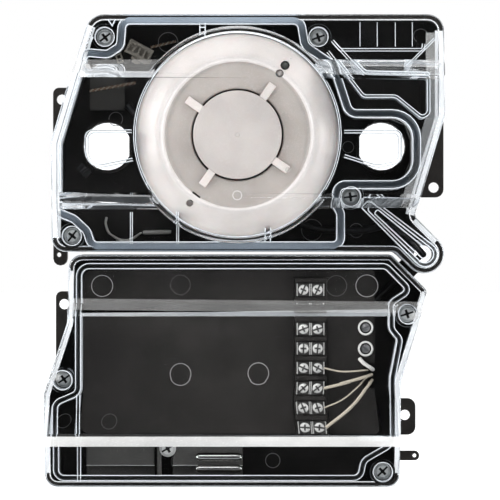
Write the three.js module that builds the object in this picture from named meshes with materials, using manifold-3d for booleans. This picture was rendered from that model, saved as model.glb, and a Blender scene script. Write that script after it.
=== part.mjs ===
// Duct smoke detector in a two-module housing: a sensor module with a plug-in smoke head between two sampling
// tube ports, and a power module that turns half a turn on the sensor module's hollow corner hinge.
// Everything is drawn in millimetres as it hangs on the duct: x to the right, y up and z out of the mounting
// plane, with the head's axis at the origin. The last group stands it up: +Z is up and the front faces -Y.
import * as THREE from "three";
import { mergeVertices } from "three/addons/utils/BufferGeometryUtils.js";
import Module from "manifold-3d";

// Driving dimensions
const DEPTH = 63.5; // mounting plane to the raised front of both covers
const RIM = 34; // mounting plane to the rim of both bases
const RIDGE = 13.5; // height of the covers' raised middle over their ends
const FLOOR = 2.6;
const BASE_WALL = 2.4;
const COVER_WALL = 2.4;
const SEAT = 0.3; // gap between pieces that rest on each other or pass through each other
const TAB = 2.6; // thickness of the mounting tabs

// Sensor module, from the head's axis to its edges
const SENSOR_LEFT = 90.6;
const SENSOR_RIGHT = 100.8;
const SENSOR_TOP = 59;
const SENSOR_BOTTOM = 56.8;
const SLANT = 0.3; // sideways run of the modules' slanted sides per unit of height
const SENSOR_RIDGE = { top: [36.3, 29.4], bottom: [-35.8, -30.4] };
const SEAL_WIDTH = 3.9;
const GASKET_HEIGHT = 1.6;
const SEAL_LIP = 1; // rim left outside the sensor module's gasket

// Power module, from its top right corner by the hinge
const MODULE_GAP = 1.3;
const POWER_HEIGHT = 113.4;
const POWER_FOOT = 173.2; // width along the bottom
const POWER_SHOULDER = 11.5; // how much further left the bottom reaches than the top
const POWER_SEAL_WIDTH = 2.6;

// Hinge
const CLAW_RADIUS = 9.55;
const CLAW_BACK = 13; // the sensor module's claw lies in front of this level, the power module's arm behind it
const HINGE_INSET = 9.6; // from the sensor module's right side to the hinge axis
const HINGE_SWEEP = 11.8; // clear radius round the hinge axis
const BUSHING_BORE = 4.4;
const BUSHING_WALL = 1.5;
const BUSHING_FLANGE = 1.7;
const BUSHING_RIM = 1.4; // thickness of the bushing's flanges
const CLAW_SEAT = 5; // thickness of the claw between the bushing's flanges
const ARM_SEAT = 3.6; // thickness of the arm between them

// Smoke head
const HEAD_RADIUS = 49.5;
const HEAD_STEP = HEAD_RADIUS - 13;
const CAP_RADIUS = HEAD_RADIUS - 28;
const CAP_SLOT = 0.9;
const FIN_WIDTH = 3.9;
const FIN_REACH = 8.5;
const HEAD_CLEARANCE = 2.4; // between the cap and the inside of the cover
const HEAD_BASE_WALL = 1.4;
const HEAD_BASE_BACK = 7.5;

// Sampling tube ports
const PORT_RADIUS = 11.8;
const PORT_FLAT = 10.8;
const PORT_WALL = 1.4;
const PORT_HEIGHT = 14;
const PORT_SEAL = 3.2;
const INLET = { x: -64.3, y: -4.9 };
const EXHAUST = { x: 70.9, y: -4.9 };

// Cover screws
const SCREW_HEAD = 4.1;
const SCREW_HEAD_HEIGHT = 2.8;
const SCREW_SHANK = 1.9;
const SCREW_LENGTH = 14;
const WELL_RADIUS = 5;
const WELL_WALL = 1.2;

// Terminal strip
const TERMINAL_PITCH = 9.525;
const TERMINAL_ROWS = 8;
const TERMINAL_COLUMNS = 6.9; // between the two columns
const TERMINAL_SCREW = 2.9;
const TERMINAL_SCREW_HEIGHT = 2.2;
const TERMINAL_MARGIN = 4.3; // from a screw's axis to the side of the block
const BARRIER = 1.9; // thickness of the ribs between rows
const BARRIER_HEIGHT = 3;

const HINGE = { x: SENSOR_RIGHT - HINGE_INSET, y: -SENSOR_BOTTOM - 1 };
const MARGIN = DEPTH - RIDGE;
const COVER_BACK = RIM + SEAT;
const POWER_TOP = -SENSOR_BOTTOM - MODULE_GAP;
const POWER_BOTTOM = POWER_TOP - POWER_HEIGHT;
const POWER_RIGHT = HINGE.x - 12;
const POWER_LEFT = POWER_RIGHT - POWER_FOOT;
const FAR = 400; // longer than the object, for cuts that run right through

const finish = (color, roughness, metalness = 0) =>
  new THREE.MeshStandardMaterial({ color, roughness, metalness });
const blackMoulding = finish(0x262220, 0.55);
const clearMoulding = finish(0xe6ebee, 0.08);
const headMoulding = finish(0xd6ccc8, 0.5);
const rubber = finish(0xaab9c8, 0.7);
const darkRubber = finish(0x1c1c1c, 0.85);
const zinc = finish(0xc8c8c4, 0.3, 1);
const boardGreen = finish(0x2c4a30, 0.5);
const creamWire = finish(0xe8e0cc, 0.5);
const whiteNylon = finish(0xf0efe9, 0.45);
const steelMesh = finish(0x55565a, 0.5, 1);
const lampGreen = finish(0x3b5a3c, 0.2);
const lampRed = finish(0x5a2a26, 0.2);

const wasm = await Module();
wasm.setup();

// A closed geometry as a solid that can be joined and cut
function solid(geometry) {
  const bare = new THREE.BufferGeometry();
  bare.setAttribute("position", geometry.getAttribute("position").clone());
  if (geometry.index) bare.setIndex(geometry.index.clone());
  const merged = mergeVertices(bare, 1e-4);
  return new wasm.Manifold(
    new wasm.Mesh({
      numProp: 3,
      vertProperties: merged.attributes.position.array,
      triVerts: new Uint32Array(merged.index.array),
    }),
  );
}

// A joined or cut solid as a geometry again
function shaped(made) {
  const mesh = made.getMesh();
  const geometry = new THREE.BufferGeometry();
  geometry.setAttribute("position", new THREE.Float32BufferAttribute(mesh.vertProperties, 3));
  geometry.setIndex(new THREE.Uint32BufferAttribute(mesh.triVerts, 1));
  geometry.computeVertexNormals();
  return geometry;
}

const joined = (first, ...others) => others.reduce((sum, next) => sum.add(next), first);
const cut = (first, ...others) => others.reduce((rest, next) => rest.subtract(next), first);

// An outline is a loop of [x, y, corner radius], anticlockwise. This moves each side inwards by a distance.
function inset(outline, distance) {
  return outline.map(([x, y, radius], i) => {
    const here = new THREE.Vector2(x, y);
    const before = new THREE.Vector2(...outline.at(i - 1).slice(0, 2));
    const after = new THREE.Vector2(...outline[(i + 1) % outline.length].slice(0, 2));
    const arriving = here.clone().sub(before).normalize();
    const leaving = after.sub(here).normalize();
    const turn = arriving.cross(leaving);
    const normals = new THREE.Vector2(-arriving.y - leaving.y, arriving.x + leaving.x);
    const moved = here.add(normals.multiplyScalar(distance / (1 + arriving.dot(leaving))));
    return [moved.x, moved.y, Math.max(radius - Math.sign(turn) * distance, 0.4)];
  });
}

// A three.js shape that follows an outline, with its corners as arcs
function loop(outline, Kind = THREE.Shape) {
  const path = new Kind();
  outline.forEach(([x, y, radius], i) => {
    const corner = new THREE.Vector2(x, y);
    const back = new THREE.Vector2(...outline.at(i - 1).slice(0, 2)).sub(corner).normalize();
    const ahead = new THREE.Vector2(...outline[(i + 1) % outline.length].slice(0, 2)).sub(corner);
    ahead.normalize();
    const half = Math.acos(back.dot(ahead)) / 2;
    const clockwise = back.cross(ahead) > 0;
    const reach = radius / Math.tan(half);
    const middle = back.clone().add(ahead).normalize().multiplyScalar(radius / Math.sin(half));
    const centre = corner.clone().add(middle);
    const start = corner.clone().addScaledVector(back, reach).sub(centre).angle();
    const end = corner.clone().addScaledVector(ahead, reach).sub(centre).angle();
    path.absarc(centre.x, centre.y, radius, start, end, clockwise);
  });
  path.closePath();
  return path;
}

// A shape run out of the mounting plane from one level to another
function plate(shape, from, to, curveSegments = 3) {
  const depth = to - from;
  return new THREE.ExtrudeGeometry(shape, { depth, bevelEnabled: false, curveSegments }).translate(0, 0, from);
}

const prism = (outline, from, to) => solid(plate(loop(outline), from, to));

// A band of some width along an outline
function band(outline, width, from, to) {
  const shape = loop(inset(outline, -width / 2));
  shape.holes.push(loop(inset(outline, width / 2), THREE.Path));
  return plate(shape, from, to, 1);
}

// A profile of [radius, level] points, clockwise, turned round an axis out of the mounting plane
function turned(profile, segments = 16, x = 0, y = 0) {
  const points = profile.map(([radius, level]) => new THREE.Vector2(radius, level)).reverse();
  return new THREE.LatheGeometry(points, segments).rotateX(Math.PI / 2).translate(x, y, 0);
}

const rod = (radius, from, to, x = 0, y = 0, segments = 12) =>
  solid(turned([[0, to], [radius, to], [radius, from], [0, from]], segments, x, y));

// A profile of [y, z] points run sideways
function bar(points, from, to) {
  const shape = new THREE.Shape(points.map(([y, z]) => new THREE.Vector2(y, z)));
  const run = new THREE.ExtrudeGeometry(shape, { depth: to - from, bevelEnabled: false }).translate(0, 0, from);
  const [X, Y, Z] = [0, 1, 2].map((axis) => new THREE.Vector3().setComponent(axis, 1));
  return run.applyMatrix4(new THREE.Matrix4().makeBasis(Y, Z, X));
}

// A block between two corners
function block(x0, x1, y0, y1, z0, z1) {
  const box = new THREE.BoxGeometry(x1 - x0, y1 - y0, z1 - z0);
  return box.translate((x0 + x1) / 2, (y0 + y1) / 2, (z0 + z1) / 2);
}

// A round wire through points
function wire(points, radius, steps = 12, sides = 6) {
  const path = new THREE.CatmullRomCurve3(points.map((point) => new THREE.Vector3(...point)));
  const section = new THREE.Shape();
  section.absarc(0, 0, radius, 0, 2 * Math.PI);
  return new THREE.ExtrudeGeometry(section, { extrudePath: path, steps, curveSegments: sides / 2 });
}

function piece(name, geometry, material, x = 0, y = 0, z = 0) {
  const mesh = new THREE.Mesh(geometry, material);
  mesh.name = name;
  mesh.position.set(x, y, z);
  return mesh;
}

function grouped(...members) {
  const group = new THREE.Group();
  group.add(...members.flat());
  return group;
}

// Outlines
const diagonal = (along, across) => [
  HINGE.x + (along + across) * Math.SQRT1_2,
  HINGE.y + (across - along) * Math.SQRT1_2,
];
const sensorSlantTop = 9.3;
const slantStart = SENSOR_RIGHT - SLANT * sensorSlantTop;
const clawSide = diagonal(0, CLAW_RADIUS);
const neckRise = (clawSide[0] - slantStart - SLANT * clawSide[1]) / (1 + SLANT);
const neckBottom = clawSide[0] - CLAW_RADIUS * 2 * Math.SQRT1_2;
const neckFoot = HINGE.y - CLAW_RADIUS * Math.SQRT1_2;
const neckMeets = neckBottom + neckFoot + SENSOR_BOTTOM; // where the claw's lower side meets the bottom side
const slantFoot = -3.4; // height at which the left side starts to slant
const leftSlantTop = -SENSOR_LEFT + SLANT * (SENSOR_TOP - slantFoot);
const sensorOutline = [
  [-SENSOR_LEFT, -SENSOR_BOTTOM, 7],
  [neckMeets, -SENSOR_BOTTOM, 3],
  [...diagonal(CLAW_RADIUS, -CLAW_RADIUS), CLAW_RADIUS * 0.995],
  [...diagonal(CLAW_RADIUS, CLAW_RADIUS), CLAW_RADIUS * 0.995],
  [clawSide[0] - neckRise, clawSide[1] + neckRise, 3],
  [SENSOR_RIGHT, sensorSlantTop, 4],
  [SENSOR_RIGHT, SENSOR_TOP, 8.3],
  [leftSlantTop, SENSOR_TOP, 9],
  [-SENSOR_LEFT, slantFoot, 4],
];
const sensorScrews = [
  { x: leftSlantTop + 7.1, y: SENSOR_TOP - 11 },
  { x: 39.5, y: SENSOR_TOP - 11 },
  { x: -SENSOR_LEFT + 9.8, y: -SENSOR_BOTTOM + 7.8 },
  { x: 55.2, y: -SENSOR_BOTTOM + 26.9 },
];
const sealEdge = SEAL_WIDTH / 2 + SEAL_LIP;
const sealLeft = -SENSOR_LEFT + sealEdge;
const sealBottom = -SENSOR_BOTTOM + sealEdge;
const sealTop = SENSOR_TOP - sealEdge;
const wellSide = WELL_RADIUS + WELL_WALL + SEAL_WIDTH / 2 + 0.2;
const [topLeftScrew, topScrew, bottomLeftScrew, innerScrew] = sensorScrews;
const sensorSeal = [
  [bottomLeftScrew.x + wellSide + 1.2, sealBottom, 4],
  [innerScrew.x - 4.9, sealBottom, 4],
  [innerScrew.x - 4.9, innerScrew.y - wellSide, 3],
  [innerScrew.x - 7.9, innerScrew.y - 2.5, 3],
  [innerScrew.x - 6.2, EXHAUST.y - 19.3, 4],
  [EXHAUST.x + 16.1, EXHAUST.y - 19.3, 12],
  [EXHAUST.x + 16.1, EXHAUST.y + 15.2, 12],
  [EXHAUST.x - 16.6, EXHAUST.y + 15.2, 5],
  [topScrew.x + 7, topScrew.y - 13.6, 5],
  [topScrew.x - 6.6, topScrew.y - 4.4, 5],
  [topScrew.x - 8.7, sealTop, 4],
  [topLeftScrew.x + 8.6, sealTop, 4],
  [topLeftScrew.x + 7.7, topLeftScrew.y - 4.6, 4],
  [topLeftScrew.x + 1.4, topLeftScrew.y - 8.6, 4],
  [-SENSOR_LEFT + SLANT * 44 + sealEdge, topLeftScrew.y - 7.6, 3],
  [sealLeft, slantFoot - 0.5, 4],
  [sealLeft, bottomLeftScrew.y + 11.6, 3],
  [bottomLeftScrew.x + 1, bottomLeftScrew.y + wellSide, 5],
  [bottomLeftScrew.x + wellSide - 1, bottomLeftScrew.y + 2.4, 5],
];

const shoulder = POWER_TOP - 17.7;
const powerOutline = [
  [POWER_LEFT, POWER_BOTTOM, 6.5],
  [POWER_RIGHT, POWER_BOTTOM, 6.4],
  [POWER_RIGHT, shoulder - 13.4 / SLANT, 4],
  [POWER_RIGHT + 13.4, shoulder, 3],
  [HINGE.x - HINGE_SWEEP * Math.SQRT2 + 0.4, POWER_TOP, 3],
  [POWER_LEFT + POWER_SHOULDER, POWER_TOP, 7],
  [POWER_LEFT + POWER_SHOULDER, POWER_TOP - 32.9, 8],
  [POWER_LEFT, POWER_TOP - 67.9, 6],
];
const powerScrews = [
  { x: POWER_LEFT + 9.1, y: POWER_TOP - 61 },
  { x: POWER_RIGHT + 3.7, y: POWER_TOP - 29.1 },
  { x: POWER_RIGHT - 8.3, y: POWER_BOTTOM + 7.3 },
];
const powerRidge = {
  top: [POWER_TOP - 22.3, POWER_TOP - 27.7],
  bottom: [POWER_BOTTOM + 19.6, POWER_BOTTOM + 24],
};
const powerSealEdge = 4.5;
const powerSealSide = POWER_RIGHT - 3.9;
const [leftPowerScrew, topPowerScrew, footPowerScrew] = powerScrews;
const powerSeal = [
  [POWER_LEFT + powerSealEdge + 1, POWER_BOTTOM + powerSealEdge, 4],
  [footPowerScrew.x - 11, POWER_BOTTOM + powerSealEdge, 4],
  [footPowerScrew.x - 9.4, POWER_BOTTOM + 13, 5],
  [powerSealSide, POWER_BOTTOM + 21, 6],
  [powerSealSide, POWER_TOP - 60, 4],
  [topPowerScrew.x - 4, topPowerScrew.y - 12, 3],
  [topPowerScrew.x - 8.1, topPowerScrew.y - 7, 4],
  [topPowerScrew.x - 8.1, topPowerScrew.y + 5.5, 4],
  [POWER_RIGHT + 5, shoulder + 0.2, 3],
  [HINGE.x - HINGE_SWEEP * Math.SQRT2 - 2, POWER_TOP - powerSealEdge - 1.2, 4],
  [POWER_LEFT + POWER_SHOULDER + 5.2, POWER_TOP - powerSealEdge - 1.2, 5],
  [POWER_LEFT + POWER_SHOULDER + 5.2, leftPowerScrew.y - 6.2, 4],
  [POWER_LEFT + powerSealEdge + 1, leftPowerScrew.y - 11, 4],
];

// The box that an outline on one module's right side fills when the modules are folded out in line
const FOLD_CLEARANCE = 1.2;
function foldedOut(outline) {
  const xs = outline.map(([x]) => x);
  const ys = outline.map(([, y]) => y);
  return {
    left: 2 * HINGE.x - Math.max(...xs) - FOLD_CLEARANCE,
    right: 2 * HINGE.x + FAR,
    bottom: 2 * HINGE.y - Math.max(...ys) - FOLD_CLEARANCE,
    top: 2 * HINGE.y - Math.min(...ys) + FOLD_CLEARANCE,
  };
}

const TAB_HOLE = 2.6;
const EYE_RADIUS = 3.4; // the hanging eye at the sensor module's lower left corner
const EYE_HOLE = 1.2;
const HEAD_POST_REACH = 40;
const HEAD_POST_RADIUS = 3.2;
const sensorTabs = [
  {
    outline: [
      [-SENSOR_LEFT - 0.9, -27, 1],
      [-SENSOR_LEFT + 4, -27, 0.5],
      [-SENSOR_LEFT + 12, 24.5, 0.5],
      [-SENSOR_LEFT - 0.9, 24.5, 3],
    ],
    hole: { x: -SENSOR_LEFT + 3.5, y: 18.6 },
  },
  {
    outline: [
      [SENSOR_RIGHT - 12.8, -29.9, 0.5],
      [SENSOR_RIGHT + 1.2, -29.9, 4],
      [SENSOR_RIGHT + 1.2, 11.4, 0.5],
      [SENSOR_RIGHT - 4, 11.4, 0.5],
    ],
    hole: { x: SENSOR_RIGHT - 3.7, y: -25 },
  },
];
const powerTabs = [
  {
    outline: [
      [POWER_LEFT + 3.9, POWER_TOP - 54.9, 1],
      [POWER_LEFT + 14, POWER_TOP - 54.9, 0.5],
      [POWER_LEFT + 14, POWER_TOP - 18.3, 0.5],
      [POWER_LEFT + 3.9, POWER_TOP - 18.3, 3],
    ],
    hole: { x: POWER_LEFT + 8.1, y: POWER_TOP - 24.7 },
  },
  {
    outline: [
      [POWER_RIGHT - 3, POWER_BOTTOM + 24, 0.5],
      [POWER_RIGHT + 8.9, POWER_BOTTOM + 24, 4],
      [POWER_RIGHT + 8.9, POWER_BOTTOM + 42.1, 4],
      [POWER_RIGHT - 3, POWER_BOTTOM + 42.1, 0.5],
    ],
    hole: { x: POWER_RIGHT + 3.6, y: POWER_BOTTOM + 33.8 },
  },
];
const [, exhaustTab] = sensorTabs;
const [, footTab] = powerTabs;
const HOOK_RADIUS = 2.4;
const hookEnd = { x: POWER_RIGHT + 8.4, y: POWER_BOTTOM + 13.7 };
const hookOutline = [
  [POWER_RIGHT - 3, hookEnd.y - HOOK_RADIUS, 0.5],
  [hookEnd.x + HOOK_RADIUS, hookEnd.y - HOOK_RADIUS, HOOK_RADIUS * 0.99],
  [hookEnd.x + HOOK_RADIUS, hookEnd.y + HOOK_RADIUS, HOOK_RADIUS * 0.99],
  [POWER_RIGHT - 3, hookEnd.y + HOOK_RADIUS, 0.5],
];

const tabSolid = ({ outline }) => prism(outline, 0, TAB);
const tabHole = ({ hole }) => rod(TAB_HOLE, -1, TAB + 1, hole.x, hole.y);

// A port's opening: a circle with a flat on the side of the head
function portShape({ x, y }, radius, flat) {
  const half = Math.acos(flat / radius);
  const side = x < 0 ? 0 : Math.PI;
  const shape = new THREE.Shape();
  shape.absarc(x, y, radius, side + half, side - half + 2 * Math.PI);
  shape.closePath();
  return shape;
}

// An open tray with a floor and an outer wall, and an inner wall under its gasket
function tray(outline, seal, sealWidth) {
  const hollow = prism(inset(outline, BASE_WALL), FLOOR, RIM + 1);
  const wall = solid(band(seal, sealWidth, FLOOR - 1, RIM - GASKET_HEIGHT));
  return joined(cut(prism(outline, 0, RIM), hollow), wall);
}

const gasketGroove = (seal, sealWidth) => solid(band(seal, sealWidth, RIM - GASKET_HEIGHT, RIM + 1));
const gasket = (seal, sealWidth) => band(seal, sealWidth - 2 * SEAT, RIM - GASKET_HEIGHT + SEAT, RIM);

const screwBoss = ({ x, y }) => rod(WELL_RADIUS + 0.6, FLOOR - 1, RIM, x, y);
const screwPilot = ({ x, y }) => rod(SCREW_SHANK + SEAT, RIM - SCREW_LENGTH, RIM + 1, x, y, 8);

// A recess in the rear of a base that leaves room for a folded-out tab, and the pad that backs it
const RECESS = TAB + 1;
const recess = ({ left, right, bottom, top }) => solid(block(left, right, bottom, top, -1, RECESS));
const recessPad = ({ left, right, bottom, top }, outline) =>
  solid(block(left - BASE_WALL, right, bottom - BASE_WALL, top + BASE_WALL, 0, RECESS + FLOOR)).intersect(
    prism(outline, 0, RIM),
  );

const CABLE_RADIUS = 1.6;
const cableBore = CABLE_RADIUS + 0.6;
const cableLevel = FLOOR + cableBore + 0.2;
const TROUGH = RIM - 8; // floor of the cable's trough across the claw
const cableExit = { x: innerScrew.x - 4.9, y: innerScrew.y - 16 };

// The hinge end of the sensor module: solid in front of the power module's arm, with a bore for the bushing
function claw() {
  const whole = prism(sensorOutline, 0, RIM).intersect(rod(HINGE_SWEEP + 3.2, 0, RIM, HINGE.x, HINGE.y, 24));
  const bushing = BUSHING_BORE + BUSHING_WALL + SEAT;
  const flange = bushing + BUSHING_FLANGE;
  const trough = block(-HINGE_SWEEP - 4, 0, -CABLE_RADIUS - 0.6, CABLE_RADIUS + 0.6, TROUGH, RIM + 1);
  return {
    whole,
    trough: solid(trough.rotateZ(-Math.PI / 4).translate(HINGE.x, HINGE.y, 0)),
    arm: rod(HINGE_SWEEP + 1.4, -1, CLAW_BACK, HINGE.x, HINGE.y, 24),
    bore: rod(bushing, CLAW_BACK - 1, RIM + 1, HINGE.x, HINGE.y, 16),
    counterbore: rod(flange, CLAW_BACK + CLAW_SEAT, RIM + 1, HINGE.x, HINGE.y, 16),
  };
}

function sensorBase() {
  const end = claw();
  const ports = [INLET, EXHAUST];
  const collar = (port) =>
    solid(plate(portShape(port, PORT_RADIUS + PORT_WALL, PORT_FLAT + PORT_WALL), FLOOR - 1, PORT_HEIGHT, 10));
  const opening = (port) => solid(plate(portShape(port, PORT_RADIUS, PORT_FLAT), -1, PORT_HEIGHT + 1, 10));
  const sealGroove = ({ x, y }) =>
    cut(
      rod(PORT_RADIUS + PORT_SEAL + 2, -1, 1.4, x, y, 18),
      rod(PORT_RADIUS + 2, -2, 2, x, y, 18),
    );
  const recesses = [foldedOut(footTab.outline), foldedOut(hookOutline)];
  const eye = { x: -SENSOR_LEFT + EYE_RADIUS - 0.4, y: -SENSOR_BOTTOM - EYE_RADIUS };
  const lobe = rod(EYE_RADIUS, 0, CLAW_BACK, eye.x, eye.y);
  const lobeWeb = solid(
    block(eye.x - EYE_RADIUS, eye.x + EYE_RADIUS, eye.y, -SENSOR_BOTTOM + 8, 0, CLAW_BACK),
  );
  const cablePass = solid(
    turned([[0, 6], [cableBore, 6], [cableBore, -6], [0, -6]], 12)
      .rotateY(Math.PI / 2)
      .translate(cableExit.x, cableExit.y, cableLevel),
  );
  const headPosts = [45, 135, 225, 315].map((degrees) => {
    const angle = THREE.MathUtils.degToRad(degrees);
    const [x, y] = [HEAD_POST_REACH * Math.cos(angle), HEAD_POST_REACH * Math.sin(angle)];
    return rod(HEAD_POST_RADIUS, FLOOR - 1, HEAD_BASE_BACK - SEAT, x, y, 10);
  });
  const whole = joined(
    tray(sensorOutline, sensorSeal, SEAL_WIDTH),
    end.whole,
    lobe,
    lobeWeb,
    ...ports.map(collar),
    ...sensorScrews.map(screwBoss),
    ...sensorTabs.map(tabSolid),
    ...recesses.map((place) => recessPad(place, sensorOutline)),
    ...headPosts,
  );
  return cut(
    whole,
    end.arm,
    end.bore,
    end.counterbore,
    end.trough,
    cablePass,
    gasketGroove(sensorSeal, SEAL_WIDTH),
    ...ports.map(opening),
    ...ports.map(sealGroove),
    ...sensorScrews.map(screwPilot),
    ...sensorTabs.map(tabHole),
    ...recesses.map(recess),
    rod(EYE_HOLE, -1, CLAW_BACK + 1, eye.x - 0.7, eye.y + 1.9, 10),
  );
}

function portSeal({ x, y }) {
  const inner = PORT_RADIUS + 2 + SEAT;
  const outer = PORT_RADIUS + PORT_SEAL + 2 - SEAT;
  return turned([[inner, 0], [inner, 1.4 - SEAT], [outer, 1.4 - SEAT], [outer, 0], [inner, 0]], 18, x, y);
}

const headRing = HEAD_RADIUS + 0.5;
const domeRadius = HEAD_RADIUS + 0.9 + COVER_WALL; // the cover stands up in a round dome over the head

function headBase() {
  const back = HEAD_BASE_BACK;
  const outer = headRing + HEAD_BASE_WALL;
  const profile = [[30, back], [30, back + 2], [headRing, back + 2], [headRing, back + 16]];
  profile.push([outer, back + 16], [outer, back], [30, back]);
  return turned(profile, 36);
}

function hingeBushing() {
  const back = CLAW_BACK - 2 * SEAT - ARM_SEAT - SEAT - BUSHING_RIM;
  const front = CLAW_BACK + CLAW_SEAT + SEAT + BUSHING_RIM;
  const outer = BUSHING_BORE + BUSHING_WALL;
  const flange = outer + BUSHING_FLANGE - SEAT;
  return turned(
    [
      [BUSHING_BORE, back],
      [BUSHING_BORE, front],
      [flange, front],
      [flange, front - BUSHING_RIM],
      [outer, front - BUSHING_RIM],
      [outer, back + BUSHING_RIM],
      [flange, back + BUSHING_RIM],
      [flange, back],
      [BUSHING_BORE, back],
    ],
    16,
  );
}

// A cover's section across its length: low ends, steep ridges and a raised middle
function coverSection(ridge, wall) {
  const back = wall ? COVER_BACK - 1 : COVER_BACK;
  const [low, high] = [MARGIN - wall, DEPTH - wall];
  const lean = wall * 0.8;
  return [
    [-FAR, back],
    [FAR, back],
    [FAR, low],
    [ridge.top[0] - lean, low],
    [ridge.top[1] - lean, high],
    [ridge.bottom[1] + lean, high],
    [ridge.bottom[0] + lean, low],
    [-FAR, low],
  ];
}

function coverShell(outline, seal, sealWidth, ridge, screws, dome = 0) {
  const raised = (wall) => {
    const middle = solid(bar(coverSection(ridge, wall), -FAR, FAR));
    return dome ? middle.add(rod(dome - wall, COVER_BACK, DEPTH - wall, 0, 0, 48)) : middle;
  };
  const outer = prism(outline, COVER_BACK, DEPTH).intersect(raised(0));
  const room = prism(inset(outline, COVER_WALL), COVER_BACK - 1, DEPTH);
  const hollow = room.intersect(raised(COVER_WALL));
  const rib = solid(band(seal, sealWidth / 2, COVER_BACK, DEPTH)).intersect(outer);
  const wells = screws.map(({ x, y }) =>
    rod(WELL_RADIUS + WELL_WALL, COVER_BACK, DEPTH, x, y, 16).intersect(outer),
  );
  const bores = screws.map(({ x, y }) => rod(WELL_RADIUS, COVER_BACK + COVER_WALL, DEPTH + 1, x, y, 16));
  const holes = screws.map(({ x, y }) => rod(SCREW_SHANK + SEAT, COVER_BACK - 1, DEPTH, x, y, 8));
  return cut(joined(cut(outer, hollow), rib, ...wells), ...bores, ...holes);
}

function coverScrew() {
  const top = SCREW_HEAD_HEIGHT;
  return turned(
    [
      [0, top],
      [SCREW_HEAD, top * 0.6],
      [SCREW_HEAD, 0],
      [SCREW_SHANK, 0],
      [SCREW_SHANK, 0.6 - SCREW_LENGTH],
      [0, 0.6 - SCREW_LENGTH],
    ],
    12,
  );
}

const coverScrews = (name, screws) =>
  screws.map(({ x, y }, i) =>
    piece(`${name}_${i + 1}`, coverScrew(), zinc, x, y, COVER_BACK + COVER_WALL + SEAT),
  );

// Smoke head: the levels run back from the cap, which clears the inside of the cover
const CAP_FRONT = DEPTH - COVER_WALL - HEAD_CLEARANCE;
const CAP_BACK = CAP_FRONT - 3.4;
const HEAD_FACE = CAP_FRONT - 2.4; // the sunk ring round the cap
const HEAD_BACK = HEAD_BASE_BACK + 2.6;
const HEAD_SHELL = 2;
const lampAngle = THREE.MathUtils.degToRad(55.5);
const lamps = [
  { name: "power_lamp", reach: HEAD_RADIUS - 8.6, radius: 2, material: lampGreen },
  { name: "alarm_lamp", reach: HEAD_RADIUS - 13.4, radius: 1.7, material: lampRed },
];
const lampPlace = ({ reach }) => [reach * Math.cos(lampAngle), reach * Math.sin(lampAngle)];

// The head is a turned shell, thick enough to hold the step round its sunk ring
function headHousing() {
  const slot = CAP_RADIUS + CAP_SLOT;
  const outside = [
    [HEAD_RADIUS, HEAD_BACK],
    [HEAD_RADIUS, HEAD_FACE - 22],
    [HEAD_RADIUS - 2.5, HEAD_FACE - 12],
    [HEAD_RADIUS - 7, HEAD_FACE - 5],
    [HEAD_STEP + 1, HEAD_FACE + 0.6],
    [HEAD_STEP - 0.6, HEAD_FACE + 1.2],
    [HEAD_STEP - 2, HEAD_FACE - 0.2],
    [slot, HEAD_FACE],
  ];
  const inside = [
    [slot, HEAD_FACE - HEAD_SHELL],
    [HEAD_STEP - 1, HEAD_FACE - HEAD_SHELL],
    [HEAD_RADIUS - 9, HEAD_FACE - 7.5],
    [HEAD_RADIUS - 5, HEAD_FACE - 13],
    [HEAD_RADIUS - HEAD_SHELL, HEAD_FACE - 22],
    [HEAD_RADIUS - HEAD_SHELL, HEAD_BACK],
    [HEAD_RADIUS, HEAD_BACK],
  ];
  const holes = lamps.map((lamp) => rod(lamp.radius + SEAT, HEAD_FACE - 24, DEPTH, ...lampPlace(lamp), 12));
  return cut(solid(turned([...outside, ...inside].reverse(), 40)), ...holes);
}

function headCap() {
  const disc = rod(CAP_RADIUS, CAP_BACK, CAP_FRONT, 0, 0, 48);
  const fins = [55, 145, 235, 325].map((degrees) => {
    const reach = CAP_RADIUS + FIN_REACH;
    const seat = HEAD_FACE + SEAT;
    const fin = block(CAP_RADIUS - 3, reach, -FIN_WIDTH / 2, FIN_WIDTH / 2, seat, CAP_FRONT - 0.4);
    return solid(fin.rotateZ(THREE.MathUtils.degToRad(degrees)));
  });
  return joined(disc, ...fins);
}

const boardLevel = HEAD_BACK + 3;
const chamberBack = boardLevel + 1.6 + SEAT;
const chamberFront = CAP_BACK - 3;

function headBoard() {
  const radius = HEAD_RADIUS - HEAD_SHELL - 1;
  return turned([[0, boardLevel + 1.6], [radius, boardLevel + 1.6], [radius, boardLevel], [0, boardLevel]], 28);
}

// The chamber's labyrinth: a cup open at the front, with baffles round its wall
function sensingChamber() {
  const RADIUS = 17;
  const cup = turned(
    [
      [0, chamberBack + 2],
      [RADIUS - 1.6, chamberBack + 2],
      [RADIUS - 1.6, chamberFront],
      [RADIUS, chamberFront],
      [RADIUS, chamberBack],
      [0, chamberBack],
    ],
    24,
  );
  const gaps = [0, 1, 2, 3, 4, 5].map((i) =>
    solid(block(RADIUS - 4, RADIUS + 2, -2, 2, chamberBack + 6, chamberFront + 1).rotateZ((i * Math.PI) / 3)),
  );
  return cut(solid(cup), ...gaps);
}

function insectScreen() {
  const [inner, outer] = [18.6, 19.4];
  const profile = [[inner, chamberBack], [inner, chamberFront], [outer, chamberFront], [outer, chamberBack]];
  profile.push([inner, chamberBack]);
  return turned(profile, 24);
}

function lampSolid({ radius, reach }) {
  const front = HEAD_FACE - (reach - HEAD_STEP) * 1.2 + 1;
  const back = boardLevel + 1.6 + SEAT;
  const dome = [[0, front], [radius * 0.6, front - 0.3], [radius, front - 1.2]];
  return turned([...dome, [radius, back], [0, back]], 12);
}

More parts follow.
